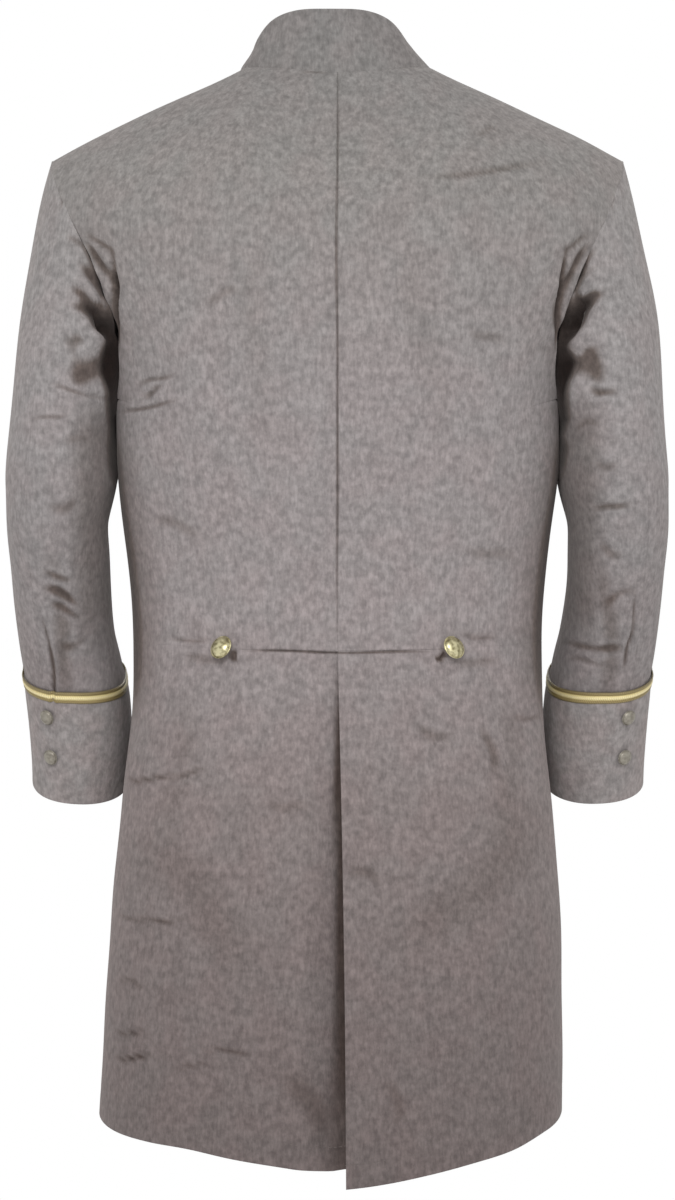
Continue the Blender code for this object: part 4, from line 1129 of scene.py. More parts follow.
def braid_along(name, path, outward, wide, thick, look, closed):
    """A flat braid laid on the cloth along a path."""
    if closed:
        run = unit(np.roll(path, -1, axis=0) - np.roll(path, 1, axis=0))
    else:
        run = unit(np.gradient(path, axis=0))
    sideways = unit(np.cross(outward, run))
    across, up = braid_profile(wide, thick)
    grid = path[None] + sideways[None] * across[:, None, None] + outward[None] * up[:, None, None]
    rows, columns = grid.shape[:2]
    index = np.arange(rows * columns).reshape(rows, columns)
    index = np.concatenate([index, index[:1]])
    if closed:
        index = wrapped(index)
    faces = cell_corners(index)[:, TURNED].tolist()
    if not closed:
        faces += [index[:-1, 0].tolist(), index[:-1, -1][::-1].tolist()]
    mesh = bpy.data.meshes.new(name)
    mesh.from_pydata(grid.reshape(-1, 3).tolist(), [], faces)
    mesh.shade_smooth()
    mesh.materials.append(look)
    lengths = np.insert(np.cumsum(np.linalg.norm(np.diff(path, axis=0), axis=1)), 0, 0)
    place = np.zeros((rows, columns, 3))
    place[..., 0] = lengths[None]
    place[..., 1] = np.clip(across / wide, -0.5, 0.5)[:, None]
    mesh.attributes.new("braid_place", "FLOAT_VECTOR", "POINT").data.foreach_set("vector", place.ravel())
    return linked(name, mesh)


def make_cuff_braids(looks, coat):
    over, under = round_arm(150, 90)
    under_arm = (HIND_COLUMN + FORE_COLUMN) / 2
    first = len(over) + int(np.searchsorted(under, under_arm))
    columns = np.roll(np.concatenate([over, under]), -first)
    middle = BRAID_BELOW / ARM_DROP * (1 - CAP)
    for word, side in SIDES:
        points, outward = sleeve_frame(columns, cuff_v(columns) + middle, side)
        lift = CUFF_LIFT - CUFF_SEWN + SEAM + sleeve_relief(points, outward, side, coat.swell)
        path = points + outward * lift[:, None]
        piece = braid_along(f"braid_cuff_{word}", path, outward, coat.braid_wide, BRAID_THICK,
                            looks["gilt"], closed=True)
        yield piece, f"cuff_braid_{word}", "gilt_braid"


def peak_column():
    columns = np.linspace(FORE_COLUMN, COLUMNS, 801)
    return columns[np.argmax(arm_angle(columns) >= PEAK_ANGLE)]


# In mm, as the knot's own points are: the arm's radius that it is laid round and its room above the cuff,
# then where its second half runs over the first below the loops, from how far up to how far.
SLEEVE_ROUND, KNOT_CLEAR = 58.0, 4.2
CROSS_HALF, CROSS_RISE, CROSS_FROM, CROSS_TO = 14, 8, 40, 66
KNOT_POINTS = 110       # along each half


def make_knots(looks, coat):
    peak = peak_column()
    degrees = arm_angle(peak + 0.5) - arm_angle(peak - 0.5)
    half = on_curve(KNOT, np.linspace(0, 1, KNOT_POINTS))
    across, up, over = (np.concatenate([line, line[-2::-1] * sign]) for line, sign in zip(half, (-1, 1, 0)))
    second = np.arange(len(across)) > len(across) // 2
    crossing = second & (np.abs(across) < CROSS_HALF) & (up > CROSS_FROM) & (up < CROSS_TO)
    over = np.where(crossing, ease((CROSS_HALF - np.abs(across)) / CROSS_RISE), over)
    column = peak + np.degrees(across / SLEEVE_ROUND) / degrees
    length = ARM_DROP / (1 - CAP) * 1000
    up = np.maximum(up, (cuff_v(peak) - cuff_v(column)) * length + KNOT_CLEAR)
    for word, side in SIDES:
        points, outward = sleeve_frame(column, cuff_v(peak) - up / length, side)
        lift = 2 * SEAM + over * (BRAID_THICK + SEAM)
        lift = lift + sleeve_relief(points, outward, side, coat.swell)
        path = points + outward * lift[:, None]
        piece = braid_along(f"braid_knot_{word}", path, outward, KNOT_WIDE, BRAID_THICK,
                            looks["gilt"], closed=False)
        yield piece, f"sleeve_knot_{word}", "gilt_braid"


BUTTON_SIDES = 40


def make_button(name, wide, place, face, look):
    """A domed, stamped button on its shank, turned about the way it faces."""
    half = wide / 2
    dome, rim, shank, post = 0.22 * wide, 0.07 * wide, 0.16 * wide, 0.13 * wide
    base = shank + rim
    angles = np.radians(np.linspace(0, 84, 15))
    # From the top of the dome out over the rim, then under it and down the shank, as (radius, height).
    profile = [(0.90 * half * math.sin(a), base + 0.05 * rim + dome * math.cos(a)) for a in angles]
    profile += [(0.905 * half, base - 0.10 * rim), (0.93 * half, base - 0.12 * rim),
                (0.955 * half, base + 0.16 * rim), (0.98 * half, base + 0.14 * rim),
                (half, base - 0.10 * rim), (0.995 * half, base - 0.42 * rim),
                (0.96 * half, base - 0.66 * rim), (0.80 * half, shank * 1.02), (0.45 * half, shank * 0.94),
                (post, shank * 0.86), (post * 0.82, shank * 0.5), (post, SEAM), (0, SEAM)]
    radius, height = np.array(profile).T
    turns = np.linspace(0, 2 * math.pi, BUTTON_SIDES, endpoint=False)
    upward = unit(np.array(face, float))
    across = unit(np.cross((0.0, 0.0, 1.0), upward))
    other = np.cross(upward, across)
    ring = np.cos(turns)[:, None] * across + np.sin(turns)[:, None] * other
    grid = place + height[1:-1, None, None] * upward + radius[1:-1, None, None] * ring
    top, foot = place + upward * height[0], place + upward * height[-1]
    points = np.concatenate([[top], grid.reshape(-1, 3), [foot]])
    index = wrapped(1 + np.arange(grid.shape[0] * BUTTON_SIDES).reshape(-1, BUTTON_SIDES))
    faces = cell_corners(index).tolist()
    faces += [(0, index[0, k], index[0, k + 1]) for k in range(BUTTON_SIDES)]
    faces += [(len(points) - 1, index[-1, k + 1], index[-1, k]) for k in range(BUTTON_SIDES)]
    mesh = bpy.data.meshes.new(name)
    mesh.from_pydata(points.tolist(), [], faces)
    mesh.shade_smooth()
    mesh.materials.append(look)
    return linked(name, mesh)


TIP_OUT = 0.6       # how much of a waist button's upward tip it leans out by


def make_waist_buttons(looks, coat):
    for word, side in SIDES:
        turn = np.array(SIDE_BACK_SEAM[-1].turn)
        place = body_point(turn, waist_z(turn)) * (side, 1, 1)
        face = unit((body_point(turn, WAIST_Z, 1) - body_point(turn, WAIST_Z)) * (side, 1, 1))
        place = place + face * unevenness(place, BODY_SEED, coat.swell)
        tipped = face + np.array((side * coat.tip * TIP_OUT, 0, coat.tip))
        yield (make_button(f"button_waist_{word}_face", BUTTON_WIDE, place, tipped, looks["brass"]),
               f"button_waist_{word}", "stamped_brass")


def make_cuff_buttons(looks, coat):
    for word, side in SIDES:
        for k, drop in enumerate(CUFF_BUTTON_DROPS, 1):
            v = cuff_v(np.array(HIND_COLUMN)) + drop / ARM_DROP * (1 - CAP)
            point, outward = sleeve_frame(np.array(HIND_COLUMN), v, side)
            place = point + outward * (CUFF_LIFT + sleeve_relief(point, outward, side, coat.swell))
            yield (make_button(f"button_cuff_{word}_{k}_face", SMALL_BUTTON_WIDE, place, outward,
                               looks["dull brass"]),
                   f"button_cuff_{word}_{k}", "stamped_brass")


def front_button_z(row):
    return NECK_FRONT_Z + (WAIST_Z - NECK_FRONT_Z) * row / (ARM_BACK_ROWS + SEAM_ROWS)


def make_front_buttons(looks, coat):
    for k, row in enumerate(FRONT_BUTTON_ROWS, 1):
        z = front_button_z(row)
        place = body_point(180, z, FRONT_LIFT)
        slope = body_point(180, z - 0.01, FRONT_LIFT) - body_point(180, z + 0.01, FRONT_LIFT)
        face = np.array((0.0, -slope[2], slope[1]))
        place = place + unit(face) * unevenness(place, BODY_SEED, coat.swell)
        yield (make_button(f"button_front_{k}_face", BUTTON_WIDE, place, face, looks["brass"]),
               f"button_front_{k}", "stamped_brass")


# ---------------------------------------------------------------- stitches, as Geometry Nodes along paths

def stitch_tree():
    """A tree that lays one stitch every pitch along a line: small rounded bars of thread."""
    tree = bpy.data.node_groups.new("Stitch row", "GeometryNodeTree")
    face = tree.interface
    face.new_socket("Line", in_out="INPUT", socket_type="NodeSocketGeometry")
    for label, value in (("Pitch", 0.0045), ("Stitch length", 0.0030), ("Thread width", 0.0006)):
        socket = face.new_socket(label, in_out="INPUT", socket_type="NodeSocketFloat")
        socket.default_value = value
        socket.subtype = "DISTANCE"
    face.new_socket("Thread", in_out="INPUT", socket_type="NodeSocketMaterial")
    face.new_socket("Stitches", in_out="OUTPUT", socket_type="NodeSocketGeometry")
    add, link = tree.nodes.new, tree.links.new
    given, result = add("NodeGroupInput"), add("NodeGroupOutput")
    curve, points = add("GeometryNodeMeshToCurve"), add("GeometryNodeCurveToPoints")
    points.mode = "LENGTH"
    bar, size = add("GeometryNodeMeshUVSphere"), add("ShaderNodeCombineXYZ")
    scale = add("GeometryNodeInstanceOnPoints")
    bar.inputs["Segments"].default_value, bar.inputs["Rings"].default_value = 8, 6
    bar.inputs["Radius"].default_value = 0.5
    real, dressed = add("GeometryNodeRealizeInstances"), add("GeometryNodeSetMaterial")
    link(given.outputs["Line"], curve.inputs["Mesh"])
    link(curve.outputs["Curve"], points.inputs["Curve"])
    link(given.outputs["Pitch"], points.inputs["Length"])
    link(given.outputs["Thread width"], size.inputs["X"])
    link(given.outputs["Thread width"], size.inputs["Y"])
    link(given.outputs["Stitch length"], size.inputs["Z"])
    link(points.outputs["Points"], scale.inputs["Points"])
    link(points.outputs["Rotation"], scale.inputs["Rotation"])
    link(bar.outputs["Mesh"], scale.inputs["Instance"])
    link(size.outputs["Vector"], scale.inputs["Scale"])
    link(scale.outputs["Instances"], real.inputs["Geometry"])
    link(real.outputs["Geometry"], dressed.inputs["Geometry"])
    link(given.outputs["Thread"], dressed.inputs["Material"])
    link(dressed.outputs["Geometry"], result.inputs["Stitches"])
    return tree


Stitch = namedtuple("Stitch", "pitch length wide")
HEM_STITCH, HOLE_STITCH = Stitch(0.0046, 0.0034, 0.0006), Stitch(0.0009, 0.0013, 0.0009)


def stitched_rows(name, lines, thread, stitch):
    """One plain mesh of stitches along all the lines."""
    points, edges = [], []
    for line in lines:
        edges += [(len(points) + k, len(points) + k + 1) for k in range(len(line) - 1)]
        points += line.tolist()
    mesh = bpy.data.meshes.new(f"{name}_path")
    mesh.from_pydata(points, edges, [])
    path = linked(f"{name}_path", mesh)
    tree = bpy.data.node_groups.get("Stitch row") or stitch_tree()
    modifier = path.modifiers.new("Stitches", "NODES")
    modifier.node_group = tree
    sockets = {item.name: item.identifier for item in tree.interface.items_tree if item.in_out == "INPUT"}
    for label, value in zip(("Pitch", "Stitch length", "Thread width", "Thread"), (*stitch, thread)):
        modifier[sockets[label]] = value
    bpy.context.view_layer.update()
    graph = bpy.context.evaluated_depsgraph_get()
    made = bpy.data.meshes.new_from_object(path.evaluated_get(graph))
    made.name = name
    bpy.data.objects.remove(path)
    made.shade_smooth()
    return linked(name, made)


def laid_line(surface, u, v, side, lift, swell, creases):
    """A line on a piece of cloth, lifted off it, at shares u across and v down."""
    step = 0.002
    points = surface(u, v)
    right = surface(np.minimum(u + step, 1), v) - surface(np.maximum(u - step, 0), v)
    down = surface(u, np.minimum(v + step, 1)) - surface(u, np.maximum(v - step, 0))
    outward = unit(np.cross(down, right)) * side
    relief = unevenness(points, BODY_SEED, swell) + creased(points, outward, creases)
    return points + outward * (relief + lift)[:, None]


HEM_STITCH_SUNK = 0.0003        # how far the stitches lie into the cloth


def make_hem_stitches(looks, coat):
    for word, side in SIDES:
        surface = skirt_surface(side)
        u = np.linspace(0.002, 0.998, 260)
        rise = surface(u, 1 + 0 * u)[:, 2] - surface(u, 0 * u)[:, 2]
        v = 1 + coat.hem / rise
        line = laid_line(surface, u, v, side, -HEM_STITCH_SUNK, coat.swell, ALL_TORSO_CREASES)
        yield stitched_rows(f"stitches_hem_{word}", [line], looks["thread"], HEM_STITCH), None, "coat_cloth"


# A buttonhole: how far its middle is past the centre front, half its length, half its height, how square its
# ends are and how far it lies off the cloth.
HOLE_MIDDLE, HOLE_HALF, HOLE_HIGH, HOLE_SQUARE, HOLE_LIFT = 0.0035, 0.0125, 0.0013, 0.35, 0.0002


def make_buttonholes(looks, coat):
    """Worked buttonholes on the left front, each a long loop of close stitches behind its button."""
    rows = []
    for row in FRONT_BUTTON_ROWS:
        z = front_button_z(row)
        angle = np.linspace(0, 2 * math.pi, 60)
        x = HOLE_MIDDLE + HOLE_HALF * power(np.cos(angle), HOLE_SQUARE)
        points = body_point(180 - turn_of(x, z), z + HOLE_HIGH * np.sin(angle), FRONT_LIFT + HOLE_LIFT)
        points = points * (-1, 1, 1)
        normals = np.zeros_like(points) + (0, 1, 0)
        relief = unevenness(points, BODY_SEED, coat.swell) + creased(points, normals, ALL_TORSO_CREASES)
        points[:, 1] += relief
        rows.append(points)
    yield stitched_rows("stitches_buttonholes", rows, looks["thread"], HOLE_STITCH), None, "coat_cloth"


# ---------------------------------------------------------------- materials

def linear(code):
    """A colour written as #rrggbb, as the linear numbers that shaders take."""
    parts = [int(code[k:k + 2], 16) / 255 for k in (1, 3, 5)]
    return tuple(p / 12.92 if p <= 0.04045 else ((p + 0.055) / 1.055) ** 2.4 for p in parts) + (1.0,)


def grey(share):
    return (share, share, share, 1.0)


def add_node(tree, kind, inputs=(), **settings):
    """Adds a node with its settings, and sets its inputs. A socket is linked, anything else is a value."""
    node = tree.nodes.new(kind)
    for name, value in settings.items():
        setattr(node, name, value)
    for name, value in dict(inputs).items():
        if isinstance(value, bpy.types.NodeSocket):
            tree.links.new(value, node.inputs[name])
        else:
            node.inputs[name].default_value = value
    return node


def ramp(tree, factor, stops):
    """A colour ramp from (place, colour) pairs."""
    node = add_node(tree, "ShaderNodeValToRGB", {"Fac": factor})
    while len(node.color_ramp.elements) < len(stops):
        node.color_ramp.elements.new(0.5)
    for element, (place, colour) in zip(node.color_ramp.elements, stops):
        element.position, element.color = place, colour
    return node.outputs["Color"]


def new_material(name):
    made = bpy.data.materials.new(name)
    made.use_nodes = True
    return made, made.node_tree, made.node_tree.nodes["Principled BSDF"]


def multiplied(tree, one, other):
    """Two colours, one times the other."""
    node = add_node(tree, "ShaderNodeMix", data_type="RGBA", blend_type="MULTIPLY")
    node.inputs[0].default_value = 1.0
    tree.links.new(one, node.inputs[6])
    tree.links.new(other, node.inputs[7])
    return node.outputs[2]


def math_node(tree, operation, *values):
    """The result of a sum on values or sockets."""
    return add_node(tree, "ShaderNodeMath", dict(enumerate(values)), operation=operation).outputs[0]


def noise(tree, place, scale, detail, **more):
    """Noise of this scale at each place, from 0 to 1."""
    inputs = {"Vector": place, "Scale": scale, "Detail": detail, **more}
    return add_node(tree, "ShaderNodeTexNoise", inputs).outputs["Fac"]


def wool_material(name, colours, cool, pink):
    """Milled wool of two mixed yarns, carded so that light and dark hairs lie up and down the cloth.

    To the eye it is a soft blotched heather over a matt, faintly hairy surface, most pink at the hem. The
    colours are (height, colour) pairs up the coat; for the coat and the sleeves they are darker towards the top
    and the hem as painted shade, and cool and pink tint it in large patches."""
    made, tree, shader = new_material(name)
    place = add_node(tree, "ShaderNodeTexCoord").outputs["Object"]
    grain = add_node(tree, "ShaderNodeMapping", {"Vector": place, "Scale": (1.0, 1.0, 0.3)}).outputs["Vector"]
    # Yarns are about 0.6 mm in the real cloth. They are drawn at 2 mm by 6 mm, to show from a step away.
    slubs = noise(tree, grain, 420.0, 2.0, Roughness=0.6)
    flecks = noise(tree, grain, 900.0, 2.0)
    patches = noise(tree, place, 26.0, 2.0)
    blotches = noise(tree, place, 150.0, 3.0, Roughness=0.55)
    height = add_node(tree, "ShaderNodeSeparateXYZ", {"Vector": place}).outputs["Z"]
    share = add_node(tree, "ShaderNodeMapRange", {"Value": height, "From Min": HEM_Z, "From Max": TOP_Z})
    stops = [((z - HEM_Z) / (TOP_Z - HEM_Z), linear(code)) for z, code in colours]
    base = ramp(tree, share.outputs["Result"], stops)
    tint = ramp(tree, patches, ((0.40, cool), (0.60, pink)))
    heather = ramp(tree, slubs, ((0.34, grey(0.88)), (0.50, grey(1.0)), (0.68, grey(1.13))))
    mottle = ramp(tree, blotches, ((0.32, grey(0.80)), (0.50, grey(1.0)), (0.66, grey(1.18))))
    # Painted shade, read from the mesh: the colour darkens, to a dark brown at most, deep in a fold and where a
    # sleeve and the body hang close together, as little light reaches there.
    fold = add_node(tree, "ShaderNodeAttribute", attribute_name="fold_shade").outputs["Fac"]
    deep = ramp(tree, fold, ((0.0, grey(1.0)), (0.4, linear("#b5aba4")), (1.0, linear("#3a2f2b"))))
    for layer in (tint, heather, mottle, deep):
        base = multiplied(tree, base, layer)
    nap = math_node(tree, "ADD", math_node(tree, "ADD", slubs, flecks), blotches)
    bump = add_node(tree, "ShaderNodeBump", {"Height": nap, "Strength": 0.5, "Distance": 0.0006})
    tree.links.new(base, shader.inputs["Base Color"])
    tree.links.new(bump.outputs["Normal"], shader.inputs["Normal"])
    shader.inputs["Roughness"].default_value = 0.95
    shader.inputs["Specular IOR Level"].default_value = 0.12
    shader.inputs["Sheen Weight"].default_value = 0.22
    shader.inputs["Sheen Roughness"].default_value = 0.55
    shader.inputs["Sheen Tint"].default_value = linear("#cfc6c2")
    return made


# The real plait is about 0.8 mm. It is drawn at 2 mm, so that it shows from a step away.
PLAIT_LENGTH, PLAIT_SLANT = 0.002, 0.006

# Colours from the middle of the braid, at 0, to its edge, at 0.5. Over the gilt's own olive-gold they follow
# its relief as painted light: a painted highlight on the raised rib, a little lighter again on the edge cords,
# and painted shade between them and at the edges.
BRAID_GILT_AND_PAINTED_LIGHT = ((0.0, "#f0e2b0"), (0.14, "#dccb92"), (0.24, "#8b7a4c"), (0.38, "#8f8057"), (0.5, "#6f6343"))


def gilt_braid_material():
    """Flat braid of gilt thread, plaited in chevrons: a raised rib between olive edges, with a painted
    highlight on the rib and painted shade towards the edges.
    """
    made, tree, shader = new_material("gilt braid")
    place = add_node(tree, "ShaderNodeAttribute", attribute_name="braid_place").outputs["Vector"]
    parts = add_node(tree, "ShaderNodeSeparateXYZ", {"Vector": place})
    across = math_node(tree, "ABSOLUTE", parts.outputs["Y"])
    slant = math_node(tree, "MULTIPLY_ADD", across, PLAIT_SLANT, parts.outputs["X"])
    plait = math_node(tree, "SINE", math_node(tree, "MULTIPLY", slant, 2 * math.pi / PLAIT_LENGTH))
    colour = ramp(tree, across, [(place, linear(code)) for place, code in BRAID_GILT_AND_PAINTED_LIGHT])
    lighter = add_node(tree, "ShaderNodeMapRange",
                       {"Value": plait, "From Min": -1.0, "To Min": 0.72, "To Max": 1.12})
    colour = multiplied(tree, colour, lighter.outputs["Result"])
    bump = add_node(tree, "ShaderNodeBump", {"Height": plait, "Strength": 0.5, "Distance": 0.0003})
    tree.links.new(colour, shader.inputs["Base Color"])
    tree.links.new(bump.outputs["Normal"], shader.inputs["Normal"])
    shader.inputs["Metallic"].default_value = 0.25
    shader.inputs["Roughness"].default_value = 0.45
    return made


def stamped_brass_material(name, dark, light, metal):
    """Stamped brass, its gilt worn pale: softly bright and a little tarnished, like old silver to the eye."""
    made, tree, shader = new_material(name)
    place = add_node(tree, "ShaderNodeTexCoord").outputs["Object"]
    wear = noise(tree, place, 260.0, 4.0)
    colour = ramp(tree, wear, ((0.32, linear(dark)), (0.6, linear(light))))
    rough = add_node(tree, "ShaderNodeMapRange", {"Value": wear, "To Min": 0.30, "To Max": 0.46})
    tree.links.new(colour, shader.inputs["Base Color"])
    tree.links.new(rough.outputs["Result"], shader.inputs["Roughness"])
    shader.inputs["Metallic"].default_value = metal
    return made


def thread_material():
    """Grey-brown sewing thread, a shade darker than the cloth, with a slight gloss."""
    made, _, shader = new_material("sewing thread")
    shader.inputs["Base Color"].default_value = linear("#5f5754")
    shader.inputs["Roughness"].default_value = 0.7
    return made


def studio_material(name, code):
    """Matt seamless paper."""
    made, _, shader = new_material(name)
    shader.inputs["Base Color"].default_value = linear(code)
    shader.inputs["Roughness"].default_value = 0.9
    shader.inputs["Specular IOR Level"].default_value = 0.1
    return made


HEM_Z, TOP_Z = -1.0, 0.05
# The wool's colour up the coat: lightest round the waist, darker towards the top and much darker and pinker
# towards the hem. The darkening is painted shade, where the light falls off.
WOOL_COLOURS = ((-1.0, "#635a59"), (-0.85, "#6b6261"), (-0.66, "#776e6d"), (-0.50, "#857e7e"),
                (-0.30, "#857f7f"), (-0.10, "#7c7876"), (0.05, "#726f6e"))
# The sleeves are the same wool, in a copy with its own colours up the arm, set to how the light falls on them:
# painted light and shade.
SLEEVE_COLOURS = ((-1.0, "#716b6b"), (-0.60, "#7b7474"), (-0.45, "#7f7a7a"), (-0.30, "#868181"),
                  (-0.10, "#858180"), (0.05, "#7a7776"))
CUFF_COLOURS = ((-1.0, "#837c7b"), (0.05, "#8a8483"))
COOL_TINT, PINK_TINT = (0.985, 1.0, 0.995, 1), (1.01, 0.995, 0.99, 1)
CUFF_COOL_TINT, CUFF_PINK_TINT = (0.97, 1.0, 1.0, 1), (1.01, 0.99, 0.985, 1)
MAKERS = {
    "wool": lambda: wool_material("milled wool cloth", WOOL_COLOURS, COOL_TINT, PINK_TINT),
    "cuff": lambda: wool_material("milled wool cloth of the cuffs", CUFF_COLOURS, CUFF_COOL_TINT,
                                  CUFF_PINK_TINT),
    "sleeve": lambda: wool_material("milled wool cloth of the sleeves", SLEEVE_COLOURS, COOL_TINT, PINK_TINT),
    "gilt": gilt_braid_material,
    "brass": lambda: stamped_brass_material("stamped brass", "#857d5c", "#d6cfa8", 0.9),
    "dull brass": lambda: stamped_brass_material("worn stamped brass of the cuffs", "#736d63", "#8f8a7f",
                                                 0.4),
    "thread": thread_material,
}


class Looks(dict):
    """The materials, each made when it is first asked for."""

    def __missing__(self, name):
        self[name] = MAKERS[name]()
        return self[name]


LOOKS = Looks()


# ---------------------------------------------------------------- how each piece was cut

# The flat cut of what shows, without turnings: its width, its length and its area in m2.
Cut = namedtuple("Cut", "width length area held rests_on")
CUTS = {
    "back": Cut(0.26, 0.58, 0.109, "hung", ("back_left", "back_right", "collar")),
    "side_back": Cut(0.155, 0.28, 0.0345, "hung", ("back_left", "front_left")),
    "front": Cut(0.36, 0.58, 0.144, "hung", ("back_left", "back_right")),
    "skirt": Cut(0.65, 0.46, 0.259, "hung", ("back_left", "front_left", "side_back_left")),
    "collar": Cut(0.49, 0.06, 0.019, "draped", ("back_left", "back_right")),
    "sleeve_top": Cut(0.24, 0.60, 0.109, "hung", ("back_left", "front_left")),
    "sleeve_under": Cut(0.20, 0.56, 0.083, "hung", ("side_back_left",)),
    "cuff": Cut(0.36, 0.13, 0.040, "draped", ("sleeve_top_left", "sleeve_under_left")),
}


def declare_cloth(piece, node):
    """Looks up the flat cut of a piece of cloth and the pieces that it rests on; nothing more is done with
    them. A braid or a button has none.
    """
    kind = max((kind for kind in CUTS if node.startswith(kind)), key=len, default=None)
    if kind is None or "button" in node or "braid" in node:
        return
    cut = CUTS[kind]
    word = node.rsplit("_", 1)[-1]
    rests_on = cut.rests_on
    if word in ("left", "right"):
        rests_on = [name.replace("_left", f"_{word}") for name in rests_on]
    rests_on = [name for name in dict.fromkeys(rests_on) if name != node]
    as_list(rests_on)


def dress(made):
    """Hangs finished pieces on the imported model, each in the place of the plain solid that it was made on."""
    for piece, node, slot in made:
        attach(piece, "root")
        if node:
            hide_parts(node)
            declare_cloth(piece, node)


# ---------------------------------------------------------------- settings, operators and panel

class FrockCoatSettings(bpy.types.PropertyGroup):
    """Sizes of the coat's finish."""
    swell: bpy.props.FloatProperty(
        name="Swell", description="How far the cloth swells and sinks by itself", default=0.0007, min=0.0,
        max=0.004, subtype="DISTANCE", unit="LENGTH")
    hem: bpy.props.FloatProperty(
        name="Hem", description="Height of the hem's stitching above the edge", default=0.021, min=0.005,
        max=0.06, subtype="DISTANCE", unit="LENGTH")
    braid_wide: bpy.props.FloatProperty(
        name="Braid width", description="Width of the gilt braid on the cuffs", default=0.0112, min=0.002,
        max=0.02, subtype="DISTANCE", unit="LENGTH")
    tip: bpy.props.FloatProperty(
        name="Button tip", description="How far the waist buttons lean outwards on their shanks", default=0.5,
        min=0.0, max=0.8)


class FrockCoatStageSettings(bpy.types.PropertyGroup):
    """The studio round the coat."""
    distance: bpy.props.FloatProperty(
        name="Camera distance", description="From the camera to the middle of the coat", default=2.6, min=1.0,
        max=10.0, subtype="DISTANCE", unit="LENGTH")
    height: bpy.props.FloatProperty(
        name="Frame height", description="Height that the camera sees at the middle of the coat",
        default=1.104, min=0.1, max=5.0, subtype="DISTANCE", unit="LENGTH")
    fill: bpy.props.FloatProperty(
        name="Fill", description="Brightness of the light from all round", default=0.80, min=0.0, max=2.0,
        subtype="FACTOR", unit="NONE")
    key: bpy.props.FloatProperty(
        name="Key light", description="Power of the large soft light by the camera", default=52.0, min=0.0,
        max=2000.0, subtype="POWER", unit="POWER")


class FrockCoatOperator:
    """Runs a maker and dresses the model with what it makes."""
    bl_options = {"REGISTER", "UNDO"}
    makers = ()

    def execute(self, context):
        for maker in self.makers:
            dress(maker(LOOKS, context.scene.frock_coat))
        return {"FINISHED"}


class FROCKCOAT_OT_body(FrockCoatOperator, bpy.types.Operator):
    """Make the backs, side bodies and fronts"""
    bl_idname = "frockcoat.body"
    bl_label = "Body"
    makers = (make_backs, make_side_backs, make_fronts)


class FROCKCOAT_OT_skirts(FrockCoatOperator, bpy.types.Operator):
    """Make the two skirts, the right one lapped over the left behind"""
    bl_idname = "frockcoat.skirts"
    bl_label = "Skirts"
    makers = (make_skirts,)


class FROCKCOAT_OT_collar(FrockCoatOperator, bpy.types.Operator):
    """Make the stand collar"""
    bl_idname = "frockcoat.collar"
    bl_label = "Collar"
    makers = (make_collar,)


class FROCKCOAT_OT_sleeves(FrockCoatOperator, bpy.types.Operator):
    """Make the two-piece sleeves"""
    bl_idname = "frockcoat.sleeves"
    bl_label = "Sleeves"
    makers = (make_sleeves,)


class FROCKCOAT_OT_cuffs(FrockCoatOperator, bpy.types.Operator):
    """Make the pointed cuffs"""
    bl_idname = "frockcoat.cuffs"
    bl_label = "Cuffs"
    makers = (make_cuffs,)


class FROCKCOAT_OT_braid(FrockCoatOperator, bpy.types.Operator):
    """Lay the braid along the cuffs, and its knots on the sleeves"""
    bl_idname = "frockcoat.braid"
    bl_label = "Braid"
    makers = (make_cuff_braids, make_knots)


class FROCKCOAT_OT_buttons(FrockCoatOperator, bpy.types.Operator):
    """Sew on the buttons"""
    bl_idname = "frockcoat.buttons"
    bl_label = "Buttons"
    makers = (make_waist_buttons, make_cuff_buttons, make_front_buttons)


class FROCKCOAT_OT_stitches(FrockCoatOperator, bpy.types.Operator):
    """Sew the hems and work the buttonholes"""
    bl_idname = "frockcoat.stitches"
    bl_label = "Stitches"
    makers = (make_hem_stitches, make_buttonholes)


def add_light(name, place, target, size, power, colour=(1.0, 1.0, 1.0)):
    data = bpy.data.lights.new(name, "AREA")
    data.shape = "RECTANGLE"
    data.size, data.size_y = size
    data.energy, data.color = power, colour
    light = bpy.data.objects.new(name, data)
    light.location = place
    light.rotation_euler = (Vector(target) - Vector(place)).to_track_quat("-Z", "Y").to_euler()
    bpy.context.scene.collection.objects.link(light)


FLOOR_Z, FLOOR_RADIUS = -1.50, 2.0
LIT_Z, SEEN_Z = -0.48, -0.483       # the heights that the lights and the camera look at
SENSOR = 36.0                       # mm, both ways


def make_floor():
    """A round pale floor under the coat."""
    turns = np.linspace(0, 2 * math.pi, 97)[:-1]
    points = [(FLOOR_RADIUS * math.cos(a), FLOOR_RADIUS * math.sin(a), FLOOR_Z) for a in turns]
    mesh = bpy.data.meshes.new("studio_floor")
    mesh.from_pydata(points, [], [tuple(range(len(points)))])
    mesh.materials.append(studio_material("studio paper", "#f6f5f4"))
    floor = bpy.data.objects.new("studio_floor", mesh)
    bpy.context.scene.collection.objects.link(floor)
    floor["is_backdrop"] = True


def make_surroundings(fill):
    """White all round to look at, which lights the coat by the fill alone."""
    world = bpy.data.worlds.new("studio")
    world.use_nodes = True
    tree = world.node_tree
    seen = add_node(tree, "ShaderNodeLightPath").outputs["Is Camera Ray"]
    strength = add_node(tree, "ShaderNodeMapRange", {"Value": seen, "To Min": fill, "To Max": 1.0})
    background = tree.nodes["Background"]
    background.inputs["Color"].default_value = (1, 1, 1, 1)
    tree.links.new(strength.outputs["Result"], background.inputs["Strength"])
    return world


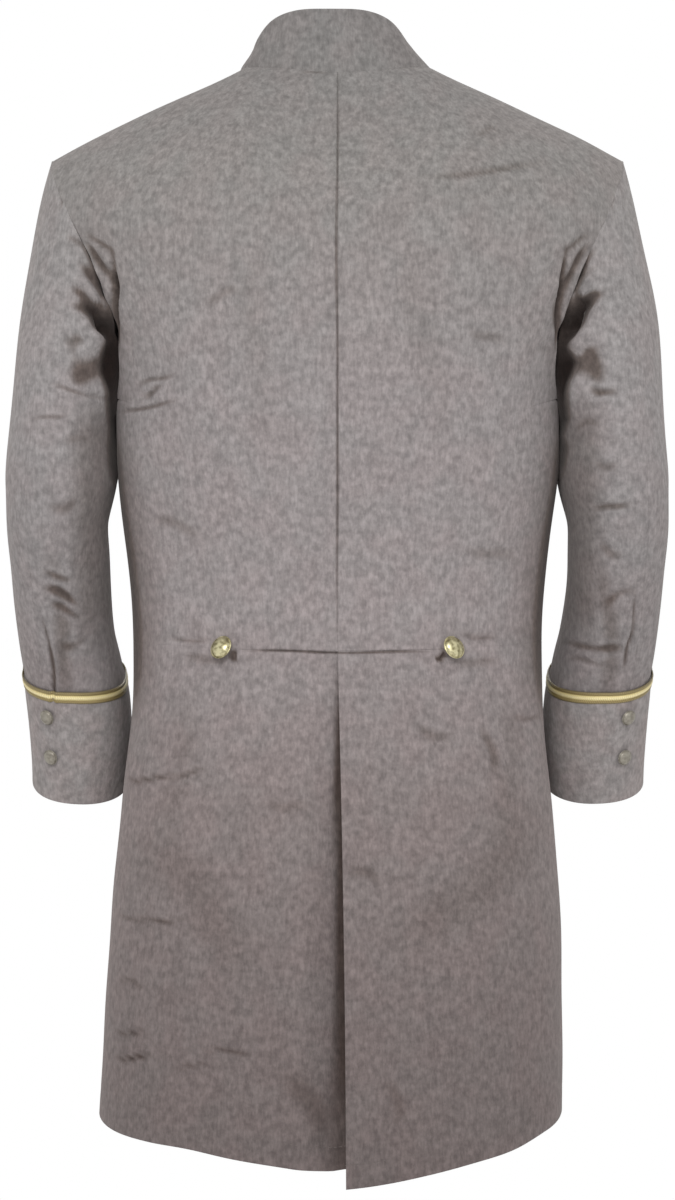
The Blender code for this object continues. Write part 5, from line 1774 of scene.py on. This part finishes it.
class FROCKCOAT_OT_stage(bpy.types.Operator):
    """Set the floor, the soft lights and the camera"""
    bl_idname = "frockcoat.stage"
    bl_label = "Stage"
    bl_options = {"REGISTER", "UNDO"}

    def execute(self, context):
        stage, scene = context.scene.frock_coat_stage, context.scene
        make_floor()
        scene.world = make_surroundings(stage.fill)
        middle = (0.0, 0.0, LIT_Z)
        add_light("key", (-0.3, -2.9, 1.1), middle, (1.3, 1.1), stage.key)
        add_light("fill", (1.5, -2.8, 0.1), middle, (1.2, 1.6), stage.key * 0.12)
        add_light("front", (0.4, 3.0, 0.9), middle, (1.6, 1.4), stage.key * 0.45)
        scene.view_settings.view_transform = "Standard"
        data = bpy.data.cameras.new("camera")
        camera = bpy.data.objects.new("camera", data)
        scene.collection.objects.link(camera)
        data.sensor_fit, data.sensor_height, data.sensor_width = "VERTICAL", SENSOR, SENSOR
        data.lens = SENSOR * stage.distance / stage.height
        camera.location = (0.0, -stage.distance, SEEN_Z)
        camera.rotation_euler = (math.pi / 2, 0.0, 0.0)
        scene.camera = camera
        return {"FINISHED"}


STEPS = ("body", "skirts", "collar", "sleeves", "cuffs", "braid", "buttons", "stitches", "stage")


class FROCKCOAT_PT_panel(bpy.types.Panel):
    """The coat's settings and its makers, in order"""
    bl_label = "Frock Coat"
    bl_idname = "FROCKCOAT_PT_panel"
    bl_space_type = "VIEW_3D"
    bl_region_type = "UI"
    bl_category = "Frock Coat"

    def draw(self, context):
        for settings in (context.scene.frock_coat, context.scene.frock_coat_stage):
            for name in settings.__annotations__:
                self.layout.prop(settings, name)
        for step in STEPS:
            self.layout.operator(f"frockcoat.{step}")


CLASSES = (FrockCoatSettings, FrockCoatStageSettings, FROCKCOAT_OT_body, FROCKCOAT_OT_skirts,
           FROCKCOAT_OT_collar, FROCKCOAT_OT_sleeves, FROCKCOAT_OT_cuffs, FROCKCOAT_OT_braid,
           FROCKCOAT_OT_buttons, FROCKCOAT_OT_stitches, FROCKCOAT_OT_stage, FROCKCOAT_PT_panel)


def register():
    for kind in CLASSES:
        bpy.utils.register_class(kind)
    bpy.types.Scene.frock_coat = bpy.props.PointerProperty(type=FrockCoatSettings)
    bpy.types.Scene.frock_coat_stage = bpy.props.PointerProperty(type=FrockCoatStageSettings)


def unregister():
    del bpy.types.Scene.frock_coat_stage
    del bpy.types.Scene.frock_coat
    for kind in reversed(CLASSES):
        bpy.utils.unregister_class(kind)


def main():
    register()
    for step in STEPS:
        getattr(bpy.ops.frockcoat, step)()
    boxes = {"cad": CAD_BOX, "visual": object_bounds()}
    {name: [[float(x) for x in corner] for corner in box] for name, box in boxes.items()}


if __name__ == "__main__":
    main()
